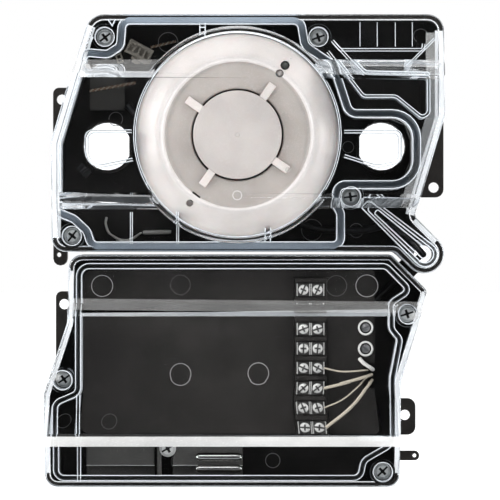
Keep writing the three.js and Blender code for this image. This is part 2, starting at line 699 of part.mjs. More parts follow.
// Power module
const shroudFront = RIM + 1;
const SHROUD_WALL = 2;
const shroud = {
  left: POWER_LEFT + POWER_SHOULDER + 6.9,
  right: POWER_RIGHT - 12,
  bottom: POWER_BOTTOM + 26.5,
  top: POWER_TOP - 7.6,
};
const board = { back: FLOOR + 6, front: FLOOR + 7.6 };
const terminal = { x: POWER_RIGHT - 47, y: POWER_TOP - 17.3, front: shroudFront + 3 };
const terminalRow = (k) => terminal.y - k * TERMINAL_PITCH;
const terminalSide = TERMINAL_COLUMNS + TERMINAL_MARGIN;
const posts = [
  { name: "upper_post", x: shroud.right - 4.6, y: terminalRow(2) + 0.65 },
  { name: "lower_post", x: shroud.right - 4.6, y: terminalRow(3) - 0.125 },
];
const wireSlot = { x: shroud.right - 3, y: terminalRow(4) - 4.1 };

function powerBase() {
  const recesses = [foldedOut(exhaustTab.outline)];
  const armReach = HINGE_SWEEP + BASE_WALL;
  const armFront = CLAW_BACK - 2 * SEAT;
  const neck = block(-armReach, 0, -5, 5, 0, armFront).rotateZ(Math.PI / 4);
  const arm = joined(
    solid(neck.translate(HINGE.x, HINGE.y, 0)),
    rod(CLAW_RADIUS - 0.3, 0, armFront, HINGE.x, HINGE.y, 24),
  );
  const bushing = BUSHING_BORE + BUSHING_WALL + SEAT;
  const cablePass = solid(
    turned([[0, 0], [cableBore, 0], [cableBore, -30], [0, -30]], 12)
      .rotateY(Math.PI / 2)
      .rotateZ(Math.PI / 4)
      .translate(HINGE.x, HINGE.y, cableLevel),
  );
  const boardPosts = [
    [shroud.left + 8, shroud.top - 8],
    [shroud.right - 10, shroud.top - 8],
    [shroud.left + 8, shroud.bottom + 8],
    [shroud.right - 10, shroud.bottom + 8],
  ].map(([x, y]) => rod(3, FLOOR - 1, board.back - SEAT, x, y, 10));
  const whole = joined(
    tray(powerOutline, powerSeal, POWER_SEAL_WIDTH),
    arm,
    prism(hookOutline, 0, TAB),
    ...powerScrews.map(screwBoss),
    ...powerTabs.map(tabSolid),
    ...recesses.map((place) => recessPad(place, powerOutline)),
    ...boardPosts,
  );
  return cut(
    whole,
    cablePass,
    gasketGroove(powerSeal, POWER_SEAL_WIDTH),
    rod(bushing, -1, CLAW_BACK, HINGE.x, HINGE.y, 16),
    rod(bushing + BUSHING_FLANGE, -1, armFront - ARM_SEAT, HINGE.x, HINGE.y, 16),
    rod(1, -1, TAB + 1, hookEnd.x, hookEnd.y, 8),
    ...powerScrews.map(screwPilot),
    ...powerTabs.map(tabHole),
    ...recesses.map(recess),
  );
}

const circuitBoard = () =>
  block(shroud.left + 3, shroud.right - 3, shroud.bottom + 3, shroud.top - 3, board.back, board.front);

function boardShroud() {
  const { left, right, bottom, top } = shroud;
  const back = board.back - 1;
  const box = prism(
    [
      [left, bottom, 5],
      [right, bottom, 2],
      [right, top, 2],
      [left, top, 5],
    ],
    back,
    shroudFront,
  );
  const [x0, x1] = [left + SHROUD_WALL, right - SHROUD_WALL];
  const [y0, y1] = [bottom + SHROUD_WALL, top - SHROUD_WALL];
  const room = solid(block(x0, x1, y0, y1, back - 1, shroudFront - SHROUD_WALL));
  const end = (TERMINAL_PITCH + BARRIER) / 2 + SEAT;
  const window = solid(
    block(
      terminal.x - TERMINAL_MARGIN - SEAT,
      terminal.x + terminalSide + SEAT,
      terminalRow(TERMINAL_ROWS - 1) - end,
      terminal.y + end,
      back,
      shroudFront + 1,
    ),
  );
  const [slotFoot, slotHead] = [wireSlot.y - 5.5, wireSlot.y + 6.5];
  const slot = solid(block(wireSlot.x - 3, right + 1, slotFoot, slotHead, back - 2, shroudFront + 1));
  return cut(box, room, window, slot);
}

// The terminal block has a rib on each side of every row
function terminalBlock() {
  const back = board.front + SEAT;
  const ribs = [];
  for (let k = TERMINAL_ROWS; k >= 0; k -= 1) {
    const y = terminal.y + (0.5 - k) * TERMINAL_PITCH;
    ribs.push([y - BARRIER / 2, terminal.front], [y - BARRIER / 2, terminal.front + BARRIER_HEIGHT]);
    ribs.push([y + BARRIER / 2, terminal.front + BARRIER_HEIGHT], [y + BARRIER / 2, terminal.front]);
  }
  const [low, high] = [ribs[0][0], ribs.at(-1)[0]];
  return bar(
    [[high, back], ...ribs.slice(1, -1).reverse(), [low, back]],
    terminal.x - TERMINAL_MARGIN,
    terminal.x + terminalSide,
  );
}

function terminalScrew() {
  const top = TERMINAL_SCREW_HEIGHT;
  return turned([[0, top], [TERMINAL_SCREW, top], [TERMINAL_SCREW, 0], [0, 0]], 10);
}

function terminalScrews() {
  const rows = Array.from({ length: TERMINAL_ROWS }, (_, k) => k);
  return [0, 1].flatMap((column) =>
    rows.map((k) => {
      const x = terminal.x + column * TERMINAL_COLUMNS;
      const name = `terminal_screw_${column * TERMINAL_ROWS + k + 1}`;
      return piece(name, terminalScrew(), zinc, x, terminalRow(k), terminal.front + SEAT);
    }),
  );
}

function collaredPost() {
  return turned([[0, 4.4], [1.9, 4.4], [1.9, 2.4], [3.8, 2.4], [3.8, 0], [0, 0]], 12);
}

function transformer() {
  const core = solid(block(-18, 18, -14, 14, 0, 17));
  return joined(core, solid(block(-11, 11, -18, 18, 2, 15)));
}

const relay = () => block(-9.5, 9.5, -7.7, 7.7, 0, 15.5);
const capacitor = () => shaped(rod(5, 0, 16));

// The terminals' own leads: each leaves its row's right screw, bows towards the front and dives into the slot
const LEAD_RISE = 1.6;
function leads() {
  const { x, y } = wireSlot;
  const level = terminal.front + LEAD_RISE;
  const start = terminal.x + TERMINAL_COLUMNS + TERMINAL_SCREW + 0.4;
  const lead = (number, row, radius, bow, end) => {
    const height = terminalRow(row);
    const points = [
      [start, height, level],
      [x - bow.back, height + bow.up, level + bow.out],
      [x + end.across, y + end.up, level],
      [x + end.across, y + end.up, shroudFront - 8],
    ];
    return piece(`lead_${number}`, wire(points, radius), creamWire);
  };
  return [
    lead(1, 4, 0.7, { back: 14, up: -1.6, out: 1 }, { across: -2, up: 3 }),
    lead(2, 5, 1, { back: 12, up: 2.4, out: 2 }, { across: 0, up: 0.4 }),
    lead(3, 6, 0.6, { back: 12, up: 4.6, out: 2.6 }, { across: -2.2, up: -1.6 }),
    lead(4, 7, 1, { back: 8, up: 11, out: 2.6 }, { across: 0.6, up: -3 }),
  ];
}

function postLead() {
  const [, lower] = posts;
  const level = shroudFront + 6;
  return wire(
    [
      [lower.x - 3, lower.y - 4.8, level - 4.6],
      [lower.x - 1, lower.y - 7, level - 3],
      [lower.x + 2.6, wireSlot.y + 4.1, level - 4],
      [lower.x + 3, wireSlot.y + 3.6, shroudFront - 8],
    ],
    0.9,
    12,
  );
}

// The cable that joins the modules runs under the head and through the hollow hinge, in two lengths whose plugs
// meet on the hinge axis
const sensorBoard = { left: sealLeft + 14.7, right: -56, bottom: 13, top: 35 };
function sensorCable() {
  const { x, y } = HINGE;
  return wire(
    [
      [sensorBoard.right + 1.2, sensorBoard.bottom + 3, cableLevel],
      [-30, -12, cableLevel],
      [0, -30, cableLevel],
      [cableExit.x - 12, cableExit.y + 1, cableLevel],
      [cableExit.x, cableExit.y, cableLevel],
      [cableExit.x + 12, cableExit.y, cableLevel],
      [x - 19, y + 14, cableLevel + 4],
      [x - 15, y + 14, RIM - 11],
      [x - 10, y + 10, TROUGH + CABLE_RADIUS + 0.9],
      [x - 4, y + 4, TROUGH + CABLE_RADIUS + 0.7],
      [x - 0.3, y + 0.3, TROUGH - 2],
      [x, y, CLAW_BACK + 3],
      [x, y, CLAW_BACK - 1.5],
    ],
    CABLE_RADIUS,
    36,
  );
}

function powerCable() {
  const { x, y } = HINGE;
  return wire(
    [
      [x, y, CLAW_BACK - 2.6],
      [x, y, CLAW_BACK - 4.6],
      [x - 1.2, y - 1.2, cableLevel + 0.9],
      [x - 5, y - 5, cableLevel],
      [x - 12, y - 12, cableLevel],
      [x - 19, y - 19, cableLevel],
      [shroud.right - 1.4, y - 24, cableLevel],
      [shroud.right - 6, y - 25, cableLevel],
    ],
    CABLE_RADIUS,
    18,
  );
}

const magnetTest = { x: -40, y: -SENSOR_BOTTOM + 10.6 };
const reedSwitch = () => turned([[0, 7], [1.2, 7], [1.5, 5.6], [1.5, -5.6], [1.2, -7], [0, -7]], 12);

function reedLead() {
  const { x, y } = magnetTest;
  const level = FLOOR + 3;
  return wire(
    [
      [x - 7.6, y, level],
      [x - 12, y - 3.4, level],
      [x - 17, y - 4.2, level],
      [x - 22.6, y - 1.2, level],
      [x - 25.4, y + 4.4, level],
      [x - 25, y + 8, level],
    ],
    0.6,
    14,
  );
}

// A stack of thin blades on a bar, beside the inlet port
function portClip() {
  const back = solid(block(-3.3, 3.3, -2, 2, 0, 8));
  const gaps = [-1.6, 0, 1.6].map((x) => solid(block(x - 0.4, x + 0.4, -3, 3, 3, 9)));
  return cut(back, ...gaps);
}

const clipPlace = [INLET.x - PORT_RADIUS, INLET.y - PORT_RADIUS, FLOOR + SEAT];
const clip = piece("port_clip", shaped(portClip()), darkRubber, ...clipPlace);
clip.rotation.z = -Math.PI / 4;
const reed = piece("reed_switch", reedSwitch(), whiteNylon, magnetTest.x, magnetTest.y, FLOOR + 3);
reed.rotation.y = Math.PI / 2;

const sensorModule = grouped(
  piece("sensor_base", shaped(sensorBase()), blackMoulding),
  piece("sensor_gasket", gasket(sensorSeal, SEAL_WIDTH), rubber),
  piece("head_base", headBase(), blackMoulding),
  piece("inlet_seal", portSeal(INLET), darkRubber),
  piece("exhaust_seal", portSeal(EXHAUST), darkRubber),
  piece("hinge_bushing", hingeBushing(), zinc, HINGE.x, HINGE.y),
  piece(
    "sensor_board",
    block(sensorBoard.left, sensorBoard.right, sensorBoard.bottom, sensorBoard.top, FLOOR + 4.6, FLOOR + 6.2),
    boardGreen,
  ),
  piece("link_cable_sensor", sensorCable(), creamWire),
  piece("reed_lead", reedLead(), whiteNylon),
  reed,
  clip,
);

const sensorCover = grouped(
  piece(
    "sensor_cover",
    shaped(coverShell(sensorOutline, sensorSeal, SEAL_WIDTH, SENSOR_RIDGE, sensorScrews, domeRadius)),
    clearMoulding,
  ),
  coverScrews("sensor_cover_screw", sensorScrews),
);

const sensorHead = grouped(
  piece("head_housing", shaped(headHousing()), headMoulding),
  piece("head_cap", shaped(headCap()), headMoulding),
  piece("head_board", headBoard(), boardGreen),
  piece("sensing_chamber", shaped(sensingChamber()), blackMoulding),
  piece("insect_screen", insectScreen(), steelMesh),
  lamps.map((lamp) => piece(lamp.name, lampSolid(lamp), lamp.material, ...lampPlace(lamp))),
);

const onBoard = board.front + SEAT;
const powerModule = grouped(
  piece("power_base", shaped(powerBase()), blackMoulding),
  piece("power_gasket", gasket(powerSeal, POWER_SEAL_WIDTH), rubber),
  piece("circuit_board", circuitBoard(), boardGreen),
  piece("board_shroud", shaped(boardShroud()), blackMoulding),
  piece("terminal_block", terminalBlock(), blackMoulding),
  terminalScrews(),
  posts.map(({ name, x, y }) => piece(name, collaredPost(), whiteNylon, x, y, shroudFront + SEAT)),
  piece("transformer", shaped(transformer()), steelMesh, shroud.left + 28, shroud.top - 26, onBoard),
  piece("relay_1", relay(), whiteNylon, shroud.left + 68, shroud.top - 18, onBoard),
  piece("relay_2", relay(), whiteNylon, shroud.left + 68, shroud.top - 40, onBoard),
  piece("capacitor", capacitor(), darkRubber, shroud.left + 16, shroud.bottom + 14, onBoard),
  leads(),
  piece("post_lead", postLead(), whiteNylon),
  piece("link_cable_power", powerCable(), creamWire),
);

const powerCover = grouped(
  piece(
    "power_cover",
    shaped(coverShell(powerOutline, powerSeal, POWER_SEAL_WIDTH, powerRidge, powerScrews)),
    clearMoulding,
  ),
  coverScrews("power_cover_screw", powerScrews),
);

const detector = grouped(sensorModule, sensorCover, sensorHead, powerModule, powerCover);
detector.rotation.x = Math.PI / 2;

export default detector;
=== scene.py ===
from math import cos, pi, radians, sin, tan
import bmesh
import bpy
from mathutils import Matrix, Vector


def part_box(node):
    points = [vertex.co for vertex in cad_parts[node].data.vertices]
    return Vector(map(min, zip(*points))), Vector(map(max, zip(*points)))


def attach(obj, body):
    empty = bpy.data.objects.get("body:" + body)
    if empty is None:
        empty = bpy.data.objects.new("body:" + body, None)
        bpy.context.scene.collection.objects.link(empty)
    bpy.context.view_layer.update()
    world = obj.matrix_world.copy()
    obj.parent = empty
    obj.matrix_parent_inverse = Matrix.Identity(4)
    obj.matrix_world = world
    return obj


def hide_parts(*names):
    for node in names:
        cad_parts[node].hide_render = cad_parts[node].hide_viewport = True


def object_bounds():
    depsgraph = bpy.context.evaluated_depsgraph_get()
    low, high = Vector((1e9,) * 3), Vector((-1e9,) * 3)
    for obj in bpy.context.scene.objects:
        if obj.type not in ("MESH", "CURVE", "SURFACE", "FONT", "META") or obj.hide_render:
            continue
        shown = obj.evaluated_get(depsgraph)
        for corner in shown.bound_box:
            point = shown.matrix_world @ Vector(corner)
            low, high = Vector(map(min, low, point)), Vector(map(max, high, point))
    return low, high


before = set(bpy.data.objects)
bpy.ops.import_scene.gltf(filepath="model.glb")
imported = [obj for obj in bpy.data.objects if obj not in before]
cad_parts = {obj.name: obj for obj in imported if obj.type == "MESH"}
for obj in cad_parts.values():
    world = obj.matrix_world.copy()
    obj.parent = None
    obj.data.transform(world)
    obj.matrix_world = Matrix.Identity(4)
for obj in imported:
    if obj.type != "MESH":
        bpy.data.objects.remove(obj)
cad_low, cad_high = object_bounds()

# A duct smoke detector: a sensor module with its smoke head above a power module, both under clear covers.
# Shapes are drawn in millimetres as the detector hangs on its duct: x to the right, y up, z out of the wall.
# STAND turns a finished drawing up into the frame, in metres.
STAND = Matrix.Rotation(radians(90), 4, "X") @ Matrix.Scale(0.001, 4)


# Camera: square on to the covers, as far off as a long lens needs to take in both modules, and a little aside
# of the middle of their box.
LENS, SENSOR = 400, 36
FIELD = 0.245
ASIDE, ABOVE = 0.0021, 0.0003
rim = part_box("sensor_base")[0].y
view = bpy.data.cameras.new("view")
view.lens, view.sensor_width = LENS, SENSOR
camera = bpy.data.objects.new("camera", view)
camera.location = (
    (cad_low.x + cad_high.x) / 2 + ASIDE, rim - FIELD * LENS / SENSOR, (cad_low.z + cad_high.z) / 2 + ABOVE,
)
camera.rotation_euler = (radians(90), 0, 0)
bpy.context.scene.collection.objects.link(camera)
bpy.context.scene.camera = camera
bpy.context.scene.view_settings.view_transform = "Standard"


# Studio: a white room that is dark where the camera stands, so that flat clear plastic doesn't mirror it,
# with a long soft light on each side, one above and one in front. Here and in the finishes, ramp() spreads a
# value over a range and combined() works two values together.
def ramp(tree, source, low, high, to_low=0.0, to_high=1.0):
    spread = tree.nodes.new("ShaderNodeMapRange")
    for label, value in zip(("From Min", "From Max", "To Min", "To Max"), (low, high, to_low, to_high)):
        spread.inputs[label].default_value = value
    tree.links.new(source, spread.inputs["Value"])
    return spread.outputs["Result"]


def combined(tree, operation, first, second):
    both = tree.nodes.new("ShaderNodeMath")
    both.operation = operation
    tree.links.new(first, both.inputs[0])
    tree.links.new(second, both.inputs[1])
    return both.outputs[0]


world = bpy.data.worlds.new("studio")
world.use_nodes = True
room = world.node_tree
room.nodes.clear()
direction = room.nodes.new("ShaderNodeTexCoord")
facing = room.nodes.new("ShaderNodeSeparateXYZ")
room.links.new(direction.outputs["Generated"], facing.inputs[0])
fade = ramp(room, facing.outputs["Y"], -0.97, -0.78, 0.02, 0.7)
fade.node.interpolation_type = "SMOOTHSTEP"
behind = ramp(room, facing.outputs["Y"], 0.5, 0.95, 0.0, 0.75)
path = room.nodes.new("ShaderNodeLightPath")
seen = room.nodes.new("ShaderNodeMix")
seen.inputs["B"].default_value = 1.0
sky = room.nodes.new("ShaderNodeBackground")
sky.inputs["Color"].default_value = (1.0, 1.0, 1.0, 1)
out = room.nodes.new("ShaderNodeOutputWorld")
room.links.new(path.outputs["Is Camera Ray"], seen.inputs["Factor"])
room.links.new(combined(room, "ADD", fade, behind), seen.inputs["A"])
room.links.new(seen.outputs["Result"], sky.inputs["Strength"])
room.links.new(sky.outputs["Background"], out.inputs["Surface"])
bpy.context.scene.world = world

middle = (cad_low + cad_high) / 2
for name, place, size, power in (
    ("left_light", (-0.75, -0.35, 0.1), (0.25, 0.9), 8),
    ("right_light", (0.75, -0.35, 0.1), (0.25, 0.9), 7),
    ("top_light", (0.0, -0.3, 0.75), (0.9, 0.3), 2.4),
    ("front_light", (-0.25, -0.9, 0.75), (0.7, 0.4), 2.5),
):
    glow = bpy.data.lights.new(name, "AREA")
    glow.shape, glow.size, glow.size_y, glow.energy = "RECTANGLE", *size, power
    lamp = bpy.data.objects.new(name, glow)
    lamp.location = middle + Vector(place)
    lamp.rotation_euler = (middle - lamp.location).to_track_quat("-Z", "Y").to_euler()
    bpy.context.scene.collection.objects.link(lamp)


# Floor: a pale sheet at the detector's foot, wide enough to run out of sight. Mirrored rays pass it, so that
# it doesn't show in the clear covers; passed_by() does that, and lets light through the covers themselves.
def passed_by(tree, first_ray, second_ray):
    """Lets two kinds of ray go straight through a material."""
    rays = tree.nodes.new("ShaderNodeLightPath")
    passing = tree.nodes.new("ShaderNodeBsdfTransparent")
    choice = tree.nodes.new("ShaderNodeMixShader")
    either = combined(tree, "MAXIMUM", rays.outputs[first_ray], rays.outputs[second_ray])
    tree.links.new(either, choice.inputs["Fac"])
    tree.links.new(tree.nodes["Principled BSDF"].outputs["BSDF"], choice.inputs[1])
    tree.links.new(passing.outputs["BSDF"], choice.inputs[2])
    tree.links.new(choice.outputs["Shader"], tree.nodes["Material Output"].inputs["Surface"])


sheet = bpy.data.meshes.new("floor")
square = bmesh.new()
FLOOR_REACH, FLOOR_DROP = 12, 0.0005
bmesh.ops.create_grid(square, x_segments=1, y_segments=1, size=FLOOR_REACH)
bmesh.ops.translate(square, vec=(0, 0, cad_low.z - FLOOR_DROP), verts=square.verts)
square.to_mesh(sheet)
square.free()
floor = bpy.data.objects.new("floor", sheet)
bpy.context.scene.collection.objects.link(floor)
paper = bpy.data.materials.new("pale_floor")
paper.use_nodes = True
dull = paper.node_tree.nodes["Principled BSDF"]
dull.inputs["Base Color"].default_value = (0.93, 0.93, 0.93, 1)
dull.inputs["Roughness"].default_value = 0.9
dull.inputs["Emission Color"].default_value = (1, 1, 1, 1)
dull.inputs["Emission Strength"].default_value = 0.45
passed_by(paper.node_tree, "Is Glossy Ray", "Is Transmission Ray")
sheet.materials.append(paper)


# Node groups shared by the finishes. Grain is the fine texture of a mould's face: specks over a slow change
# of tone. It takes a place on the piece and gives a colour, a roughness and a height.
def new_group(name, inputs, outputs):
    group = bpy.data.node_groups.new(name, "ShaderNodeTree")
    for label, kind, value in inputs:
        socket = group.interface.new_socket(label, in_out="INPUT", socket_type=kind)
        socket.default_value = value
    for label, kind in outputs:
        group.interface.new_socket(label, in_out="OUTPUT", socket_type=kind)
    return group, group.nodes.new("NodeGroupInput"), group.nodes.new("NodeGroupOutput")


def noise(tree, scale, detail):
    cloud = tree.nodes.new("ShaderNodeTexNoise")
    cloud.inputs["Scale"].default_value = scale
    cloud.inputs["Detail"].default_value = detail
    return cloud


def mix_colours(tree, factor, first, second):
    mix = tree.nodes.new("ShaderNodeMix")
    mix.data_type = "RGBA"
    tree.links.new(factor, mix.inputs["Factor"])
    for label, value in (("A", first), ("B", second)):
        if isinstance(value, tuple):
            mix.inputs[label].default_value = (*value, 1)
        else:
            tree.links.new(value, mix.inputs[label])
    return mix.outputs[2]


grain, given, made = new_group(
    "moulded_grain",
    [
        ("Place", "NodeSocketVector", (0, 0, 0)),
        ("Colour", "NodeSocketColor", (0.5, 0.5, 0.5, 1)),
        ("Speck Colour", "NodeSocketColor", (0.6, 0.6, 0.6, 1)),
        ("Roughness", "NodeSocketFloat", 0.5),
        ("Speck Size", "NodeSocketFloat", 2600.0),
        ("Speck Amount", "NodeSocketFloat", 0.5),
    ],
    [("Colour", "NodeSocketColor"), ("Roughness", "NodeSocketFloat"), ("Height", "NodeSocketFloat")],
)
specks = noise(grain, 2600, 3)
tone = noise(grain, 45, 5)
for cloud in (specks, tone):
    grain.links.new(given.outputs["Place"], cloud.inputs["Vector"])
grain.links.new(given.outputs["Speck Size"], specks.inputs["Scale"])
speck_mask = ramp(grain, specks.outputs["Fac"], 0.55, 0.75)
scaled = combined(grain, "MULTIPLY", speck_mask, given.outputs["Speck Amount"])
darker = ramp(grain, tone.outputs["Fac"], 0.3, 0.7, 0.0, 0.22)
toned = mix_colours(grain, darker, given.outputs["Colour"], (0.0, 0.0, 0.0))
specked = mix_colours(grain, scaled, toned, given.outputs["Speck Colour"])
grain.links.new(specked, made.inputs["Colour"])
worn = ramp(grain, tone.outputs["Fac"], 0.3, 0.7, -0.06, 0.08)
grain.links.new(combined(grain, "ADD", given.outputs["Roughness"], worn), made.inputs["Roughness"])
grain.links.new(specks.outputs["Fac"], made.inputs["Height"])


# Dust settles on what faces up and in broad patches, and lightens the plastic a little.
dust, given, made = new_group(
    "dust",
    [
        ("Place", "NodeSocketVector", (0, 0, 0)),
        ("Colour", "NodeSocketColor", (0.5, 0.5, 0.5, 1)),
        ("Amount", "NodeSocketFloat", 0.1),
    ],
    [("Colour", "NodeSocketColor")],
)
patches = noise(dust, 70, 8)
dust.links.new(given.outputs["Place"], patches.inputs["Vector"])
surface = dust.nodes.new("ShaderNodeNewGeometry")
upward = dust.nodes.new("ShaderNodeSeparateXYZ")
dust.links.new(surface.outputs["Normal"], upward.inputs[0])
settled = ramp(dust, upward.outputs["Z"], -0.2, 1.0, 0.25, 1.0)
lying = combined(dust, "MULTIPLY", settled, ramp(dust, patches.outputs["Fac"], 0.42, 0.75))
amount = combined(dust, "MULTIPLY", lying, given.outputs["Amount"])
dusted = mix_colours(dust, amount, given.outputs["Colour"], (0.42, 0.39, 0.36))
dust.links.new(dusted, made.inputs["Colour"])


def finish(name, colour, specks, roughness, speck_size=2600, speck_amount=0.5, bump=0.1, dusty=0.12, **plain):
    """A moulded, painted or plated finish: grain, then dust, on a Principled shader with plain constants."""
    coat = bpy.data.materials.new(name)
    coat.use_nodes = True
    tree = coat.node_tree
    shader = tree.nodes["Principled BSDF"]
    where = tree.nodes.new("ShaderNodeTexCoord")
    body = tree.nodes.new("ShaderNodeGroup")
    body.node_tree = grain
    body.inputs["Colour"].default_value = (*colour, 1)
    body.inputs["Speck Colour"].default_value = (*specks, 1)
    body.inputs["Roughness"].default_value = roughness
    body.inputs["Speck Size"].default_value = speck_size
    body.inputs["Speck Amount"].default_value = speck_amount
    film = tree.nodes.new("ShaderNodeGroup")
    film.node_tree = dust
    film.inputs["Amount"].default_value = dusty
    relief = tree.nodes.new("ShaderNodeBump")
    relief.inputs["Strength"].default_value = bump
    relief.inputs["Distance"].default_value = 0.0002
    tree.links.new(where.outputs["Object"], body.inputs["Place"])
    tree.links.new(where.outputs["Object"], film.inputs["Place"])
    tree.links.new(body.outputs["Colour"], film.inputs["Colour"])
    tree.links.new(film.outputs["Colour"], shader.inputs["Base Color"])
    tree.links.new(body.outputs["Roughness"], shader.inputs["Roughness"])
    tree.links.new(body.outputs["Height"], relief.inputs["Height"])
    tree.links.new(relief.outputs["Normal"], shader.inputs["Normal"])
    for label, value in plain.items():
        shader.inputs[label.replace("_", " ")].default_value = value
    return coat


def refinish(material, *nodes):
    """Gives CAD nodes that keep their own shape a finish."""
    for node in nodes:
        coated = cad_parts[node]
        coated.data.materials.clear()
        coated.data.materials.append(material)


# Bases: the two trays, the tabs, the claw and the arm are moulded in one piece each, in black polycarbonate
# with a fine spark-eroded texture. The power board's shroud and the terminal block get it further down.
black_plastic = finish(
    "black_plastic", (0.0125, 0.011, 0.010), (0.10, 0.09, 0.082), 0.5, 2400, 0.3, 0.25, 0.05,
    Specular_IOR_Level=0.2,
)
refinish(black_plastic, "sensor_base", "power_base")


# Flat drawings become solids with these: rounded() draws a face with its corners rounded, moved() draws the
# same outline further in, and raised() runs the face out from one level to another.
def moved(outline, distance):
    inner = []
    for i, (x, y, radius) in enumerate(outline):
        here = Vector((x, y))
        arriving = (here - Vector(outline[i - 1][:2])).normalized()
        leaving = (Vector(outline[(i + 1) % len(outline)][:2]) - here).normalized()
        shift = Vector((-arriving.y - leaving.y, arriving.x + leaving.x)) * distance
        here += shift / (1 + arriving.dot(leaving))
        turn = 1 if arriving.cross(leaving) > 0 else -1
        inner.append((here.x, here.y, max(radius - turn * distance, 0.4)))
    return inner


def rounded(outline, segments=7):
    shape = bmesh.new()
    corners = [shape.verts.new((x, y, 0)) for x, y, radius in outline]
    shape.faces.new(corners)
    for i, (x, y, radius) in enumerate(outline):
        here = Vector((x, y))
        back = Vector(outline[i - 1][:2]) - here
        ahead = Vector(outline[(i + 1) % len(outline)][:2]) - here
        reach = radius / tan(back.angle(ahead) / 2)
        bmesh.ops.bevel(
            shape, geom=[corners[i]], offset=reach, offset_type="OFFSET", segments=segments, profile=0.5,
            affect="VERTICES", material=-1,
        )
    return shape


def raised(shape, low, high):
    bmesh.ops.translate(shape, vec=(0, 0, low), verts=shape.verts)
    grown = bmesh.ops.extrude_face_region(shape, geom=shape.faces[:])["geom"]
    tops = [part for part in grown if isinstance(part, bmesh.types.BMVert)]
    bmesh.ops.translate(shape, vec=(0, 0, high - low), verts=tops)
    bmesh.ops.recalc_face_normals(shape, faces=shape.faces)
    return tops


def band(outline, width, low, high):
    """A band along an outline: a face with its middle taken out, run from one level to another."""
    shape = rounded(moved(outline, -width / 2))
    bmesh.ops.inset_region(
        shape, faces=shape.faces[:], thickness=width, use_boundary=True, use_even_offset=True,
    )
    middle_face = max(shape.faces, key=lambda face: face.calc_area())
    bmesh.ops.delete(shape, geom=[middle_face], context="FACES_KEEP_BOUNDARY")
    raised(shape, low, high)
    return shape


def wall(points, width, low, high, corner=0.0):
    """An open rib along some points: a sheet with its corners rounded, then given its thickness."""
    shape = bmesh.new()
    feet = [shape.verts.new((x, y, low)) for x, y in points]
    line = [shape.edges.new(pair) for pair in zip(feet, feet[1:])]
    grown = bmesh.ops.extrude_edge_only(shape, edges=line)["geom"]
    tops = [part for part in grown if isinstance(part, bmesh.types.BMVert)]
    bmesh.ops.translate(shape, vec=(0, 0, high - low), verts=tops)
    upright = [edge for edge in shape.edges if len(edge.link_faces) == 2]
    if corner and upright:
        bmesh.ops.bevel(
            shape, geom=upright, offset=corner, offset_type="OFFSET", segments=6, profile=0.5,
            affect="EDGES", material=-1, clamp_overlap=True,
        )
    bmesh.ops.solidify(shape, geom=shape.faces[:], thickness=width)
    bmesh.ops.recalc_face_normals(shape, faces=shape.faces)
    return shape


def spun(profile, segments=96, centre=(0, 0)):
    """A profile of radii and levels spun round an axis out of the wall."""
    shape = bmesh.new()
    points = [shape.verts.new((radius, 0, level)) for radius, level in profile]
    lines = [shape.edges.new(pair) for pair in zip(points, points[1:])]
    bmesh.ops.spin(
        shape, geom=points + lines, cent=(0, 0, 0), axis=(0, 0, 1), angle=2 * pi, steps=segments,
        use_merge=True,
    )
    bmesh.ops.remove_doubles(shape, verts=shape.verts, dist=0.0005)
    bmesh.ops.recalc_face_normals(shape, faces=shape.faces)
    bmesh.ops.translate(shape, vec=(*centre, 0), verts=shape.verts)
    return shape


def rod(radius, low, high, centre=(0, 0), segments=48):
    return spun([(0, low), (radius, low), (radius, high), (0, high)], segments, centre)


def hoop(radius, width, low, high, centre=(0, 0), segments=96):
    outer = radius + width
    return spun([(radius, low), (radius, high), (outer, high), (outer, low), (radius, low)], segments, centre)


def placed(shape, place, turn=0.0, axis="Z"):
    """Turns a shape about an axis, then moves it to a place."""
    bmesh.ops.rotate(shape, cent=(0, 0, 0), matrix=Matrix.Rotation(radians(turn), 3, axis), verts=shape.verts)
    bmesh.ops.translate(shape, vec=place, verts=shape.verts)
    return shape


def box(x0, x1, y0, y1, z0, z1, turn=0.0, centre=(0, 0)):
    shape = bmesh.new()
    bmesh.ops.create_cube(shape, size=1)
    bmesh.ops.scale(shape, vec=(x1 - x0, y1 - y0, z1 - z0), verts=shape.verts)
    bmesh.ops.translate(shape, vec=((x0 + x1) / 2, (y0 + y1) / 2, (z0 + z1) / 2), verts=shape.verts)
    return placed(shape, (*centre, 0), turn)


def beside(points, distance):
    """A run of points moved to its left by a distance."""
    places = [Vector(point) for point in points]
    steps = [(after - before).normalized() for before, after in zip(places, places[1:])]
    shifted = []
    for here, arriving, leaving in zip(places, [steps[0], *steps], [*steps, steps[-1]]):
        shift = Vector((-arriving.y - leaving.y, arriving.x + leaving.x)) * distance
        shifted.append(tuple(here + shift / (1 + arriving.dot(leaving))))
    return shifted


def eased(shape, offset, angle=25, segments=3, above=-1e9):
    """Rounds every edge sharper than an angle that lies above a level."""
    sharp = [
        edge for edge in shape.edges
        if len(edge.link_faces) == 2 and edge.calc_face_angle(0) > radians(angle)
        and min(end.co.z for end in edge.verts) > above
    ]
    bmesh.ops.bevel(
        shape, geom=sharp, offset=offset, offset_type="OFFSET", segments=segments, profile=0.5,
        affect="EDGES", material=-1, clamp_overlap=True,
    )
    return shape


def carved(shape, *steps):
    """Joins solids to a solid or cuts them from it, in order."""
    def stand_in(solid):
        mesh = bpy.data.meshes.new("carving")
        solid.to_mesh(mesh)
        solid.free()
        block = bpy.data.objects.new("carving", mesh)
        bpy.context.scene.collection.objects.link(block)
        return block

    blocks = [stand_in(shape)]
    for operation, tool in steps:
        blocks.append(stand_in(tool))
        step = blocks[0].modifiers.new("step", "BOOLEAN")
        step.operation, step.object, step.solver = operation, blocks[-1], "MANIFOLD"
    result = bmesh.new()
    result.from_object(blocks[0], bpy.context.evaluated_depsgraph_get())
    for block in blocks:
        bpy.data.meshes.remove(block.data)
    return result


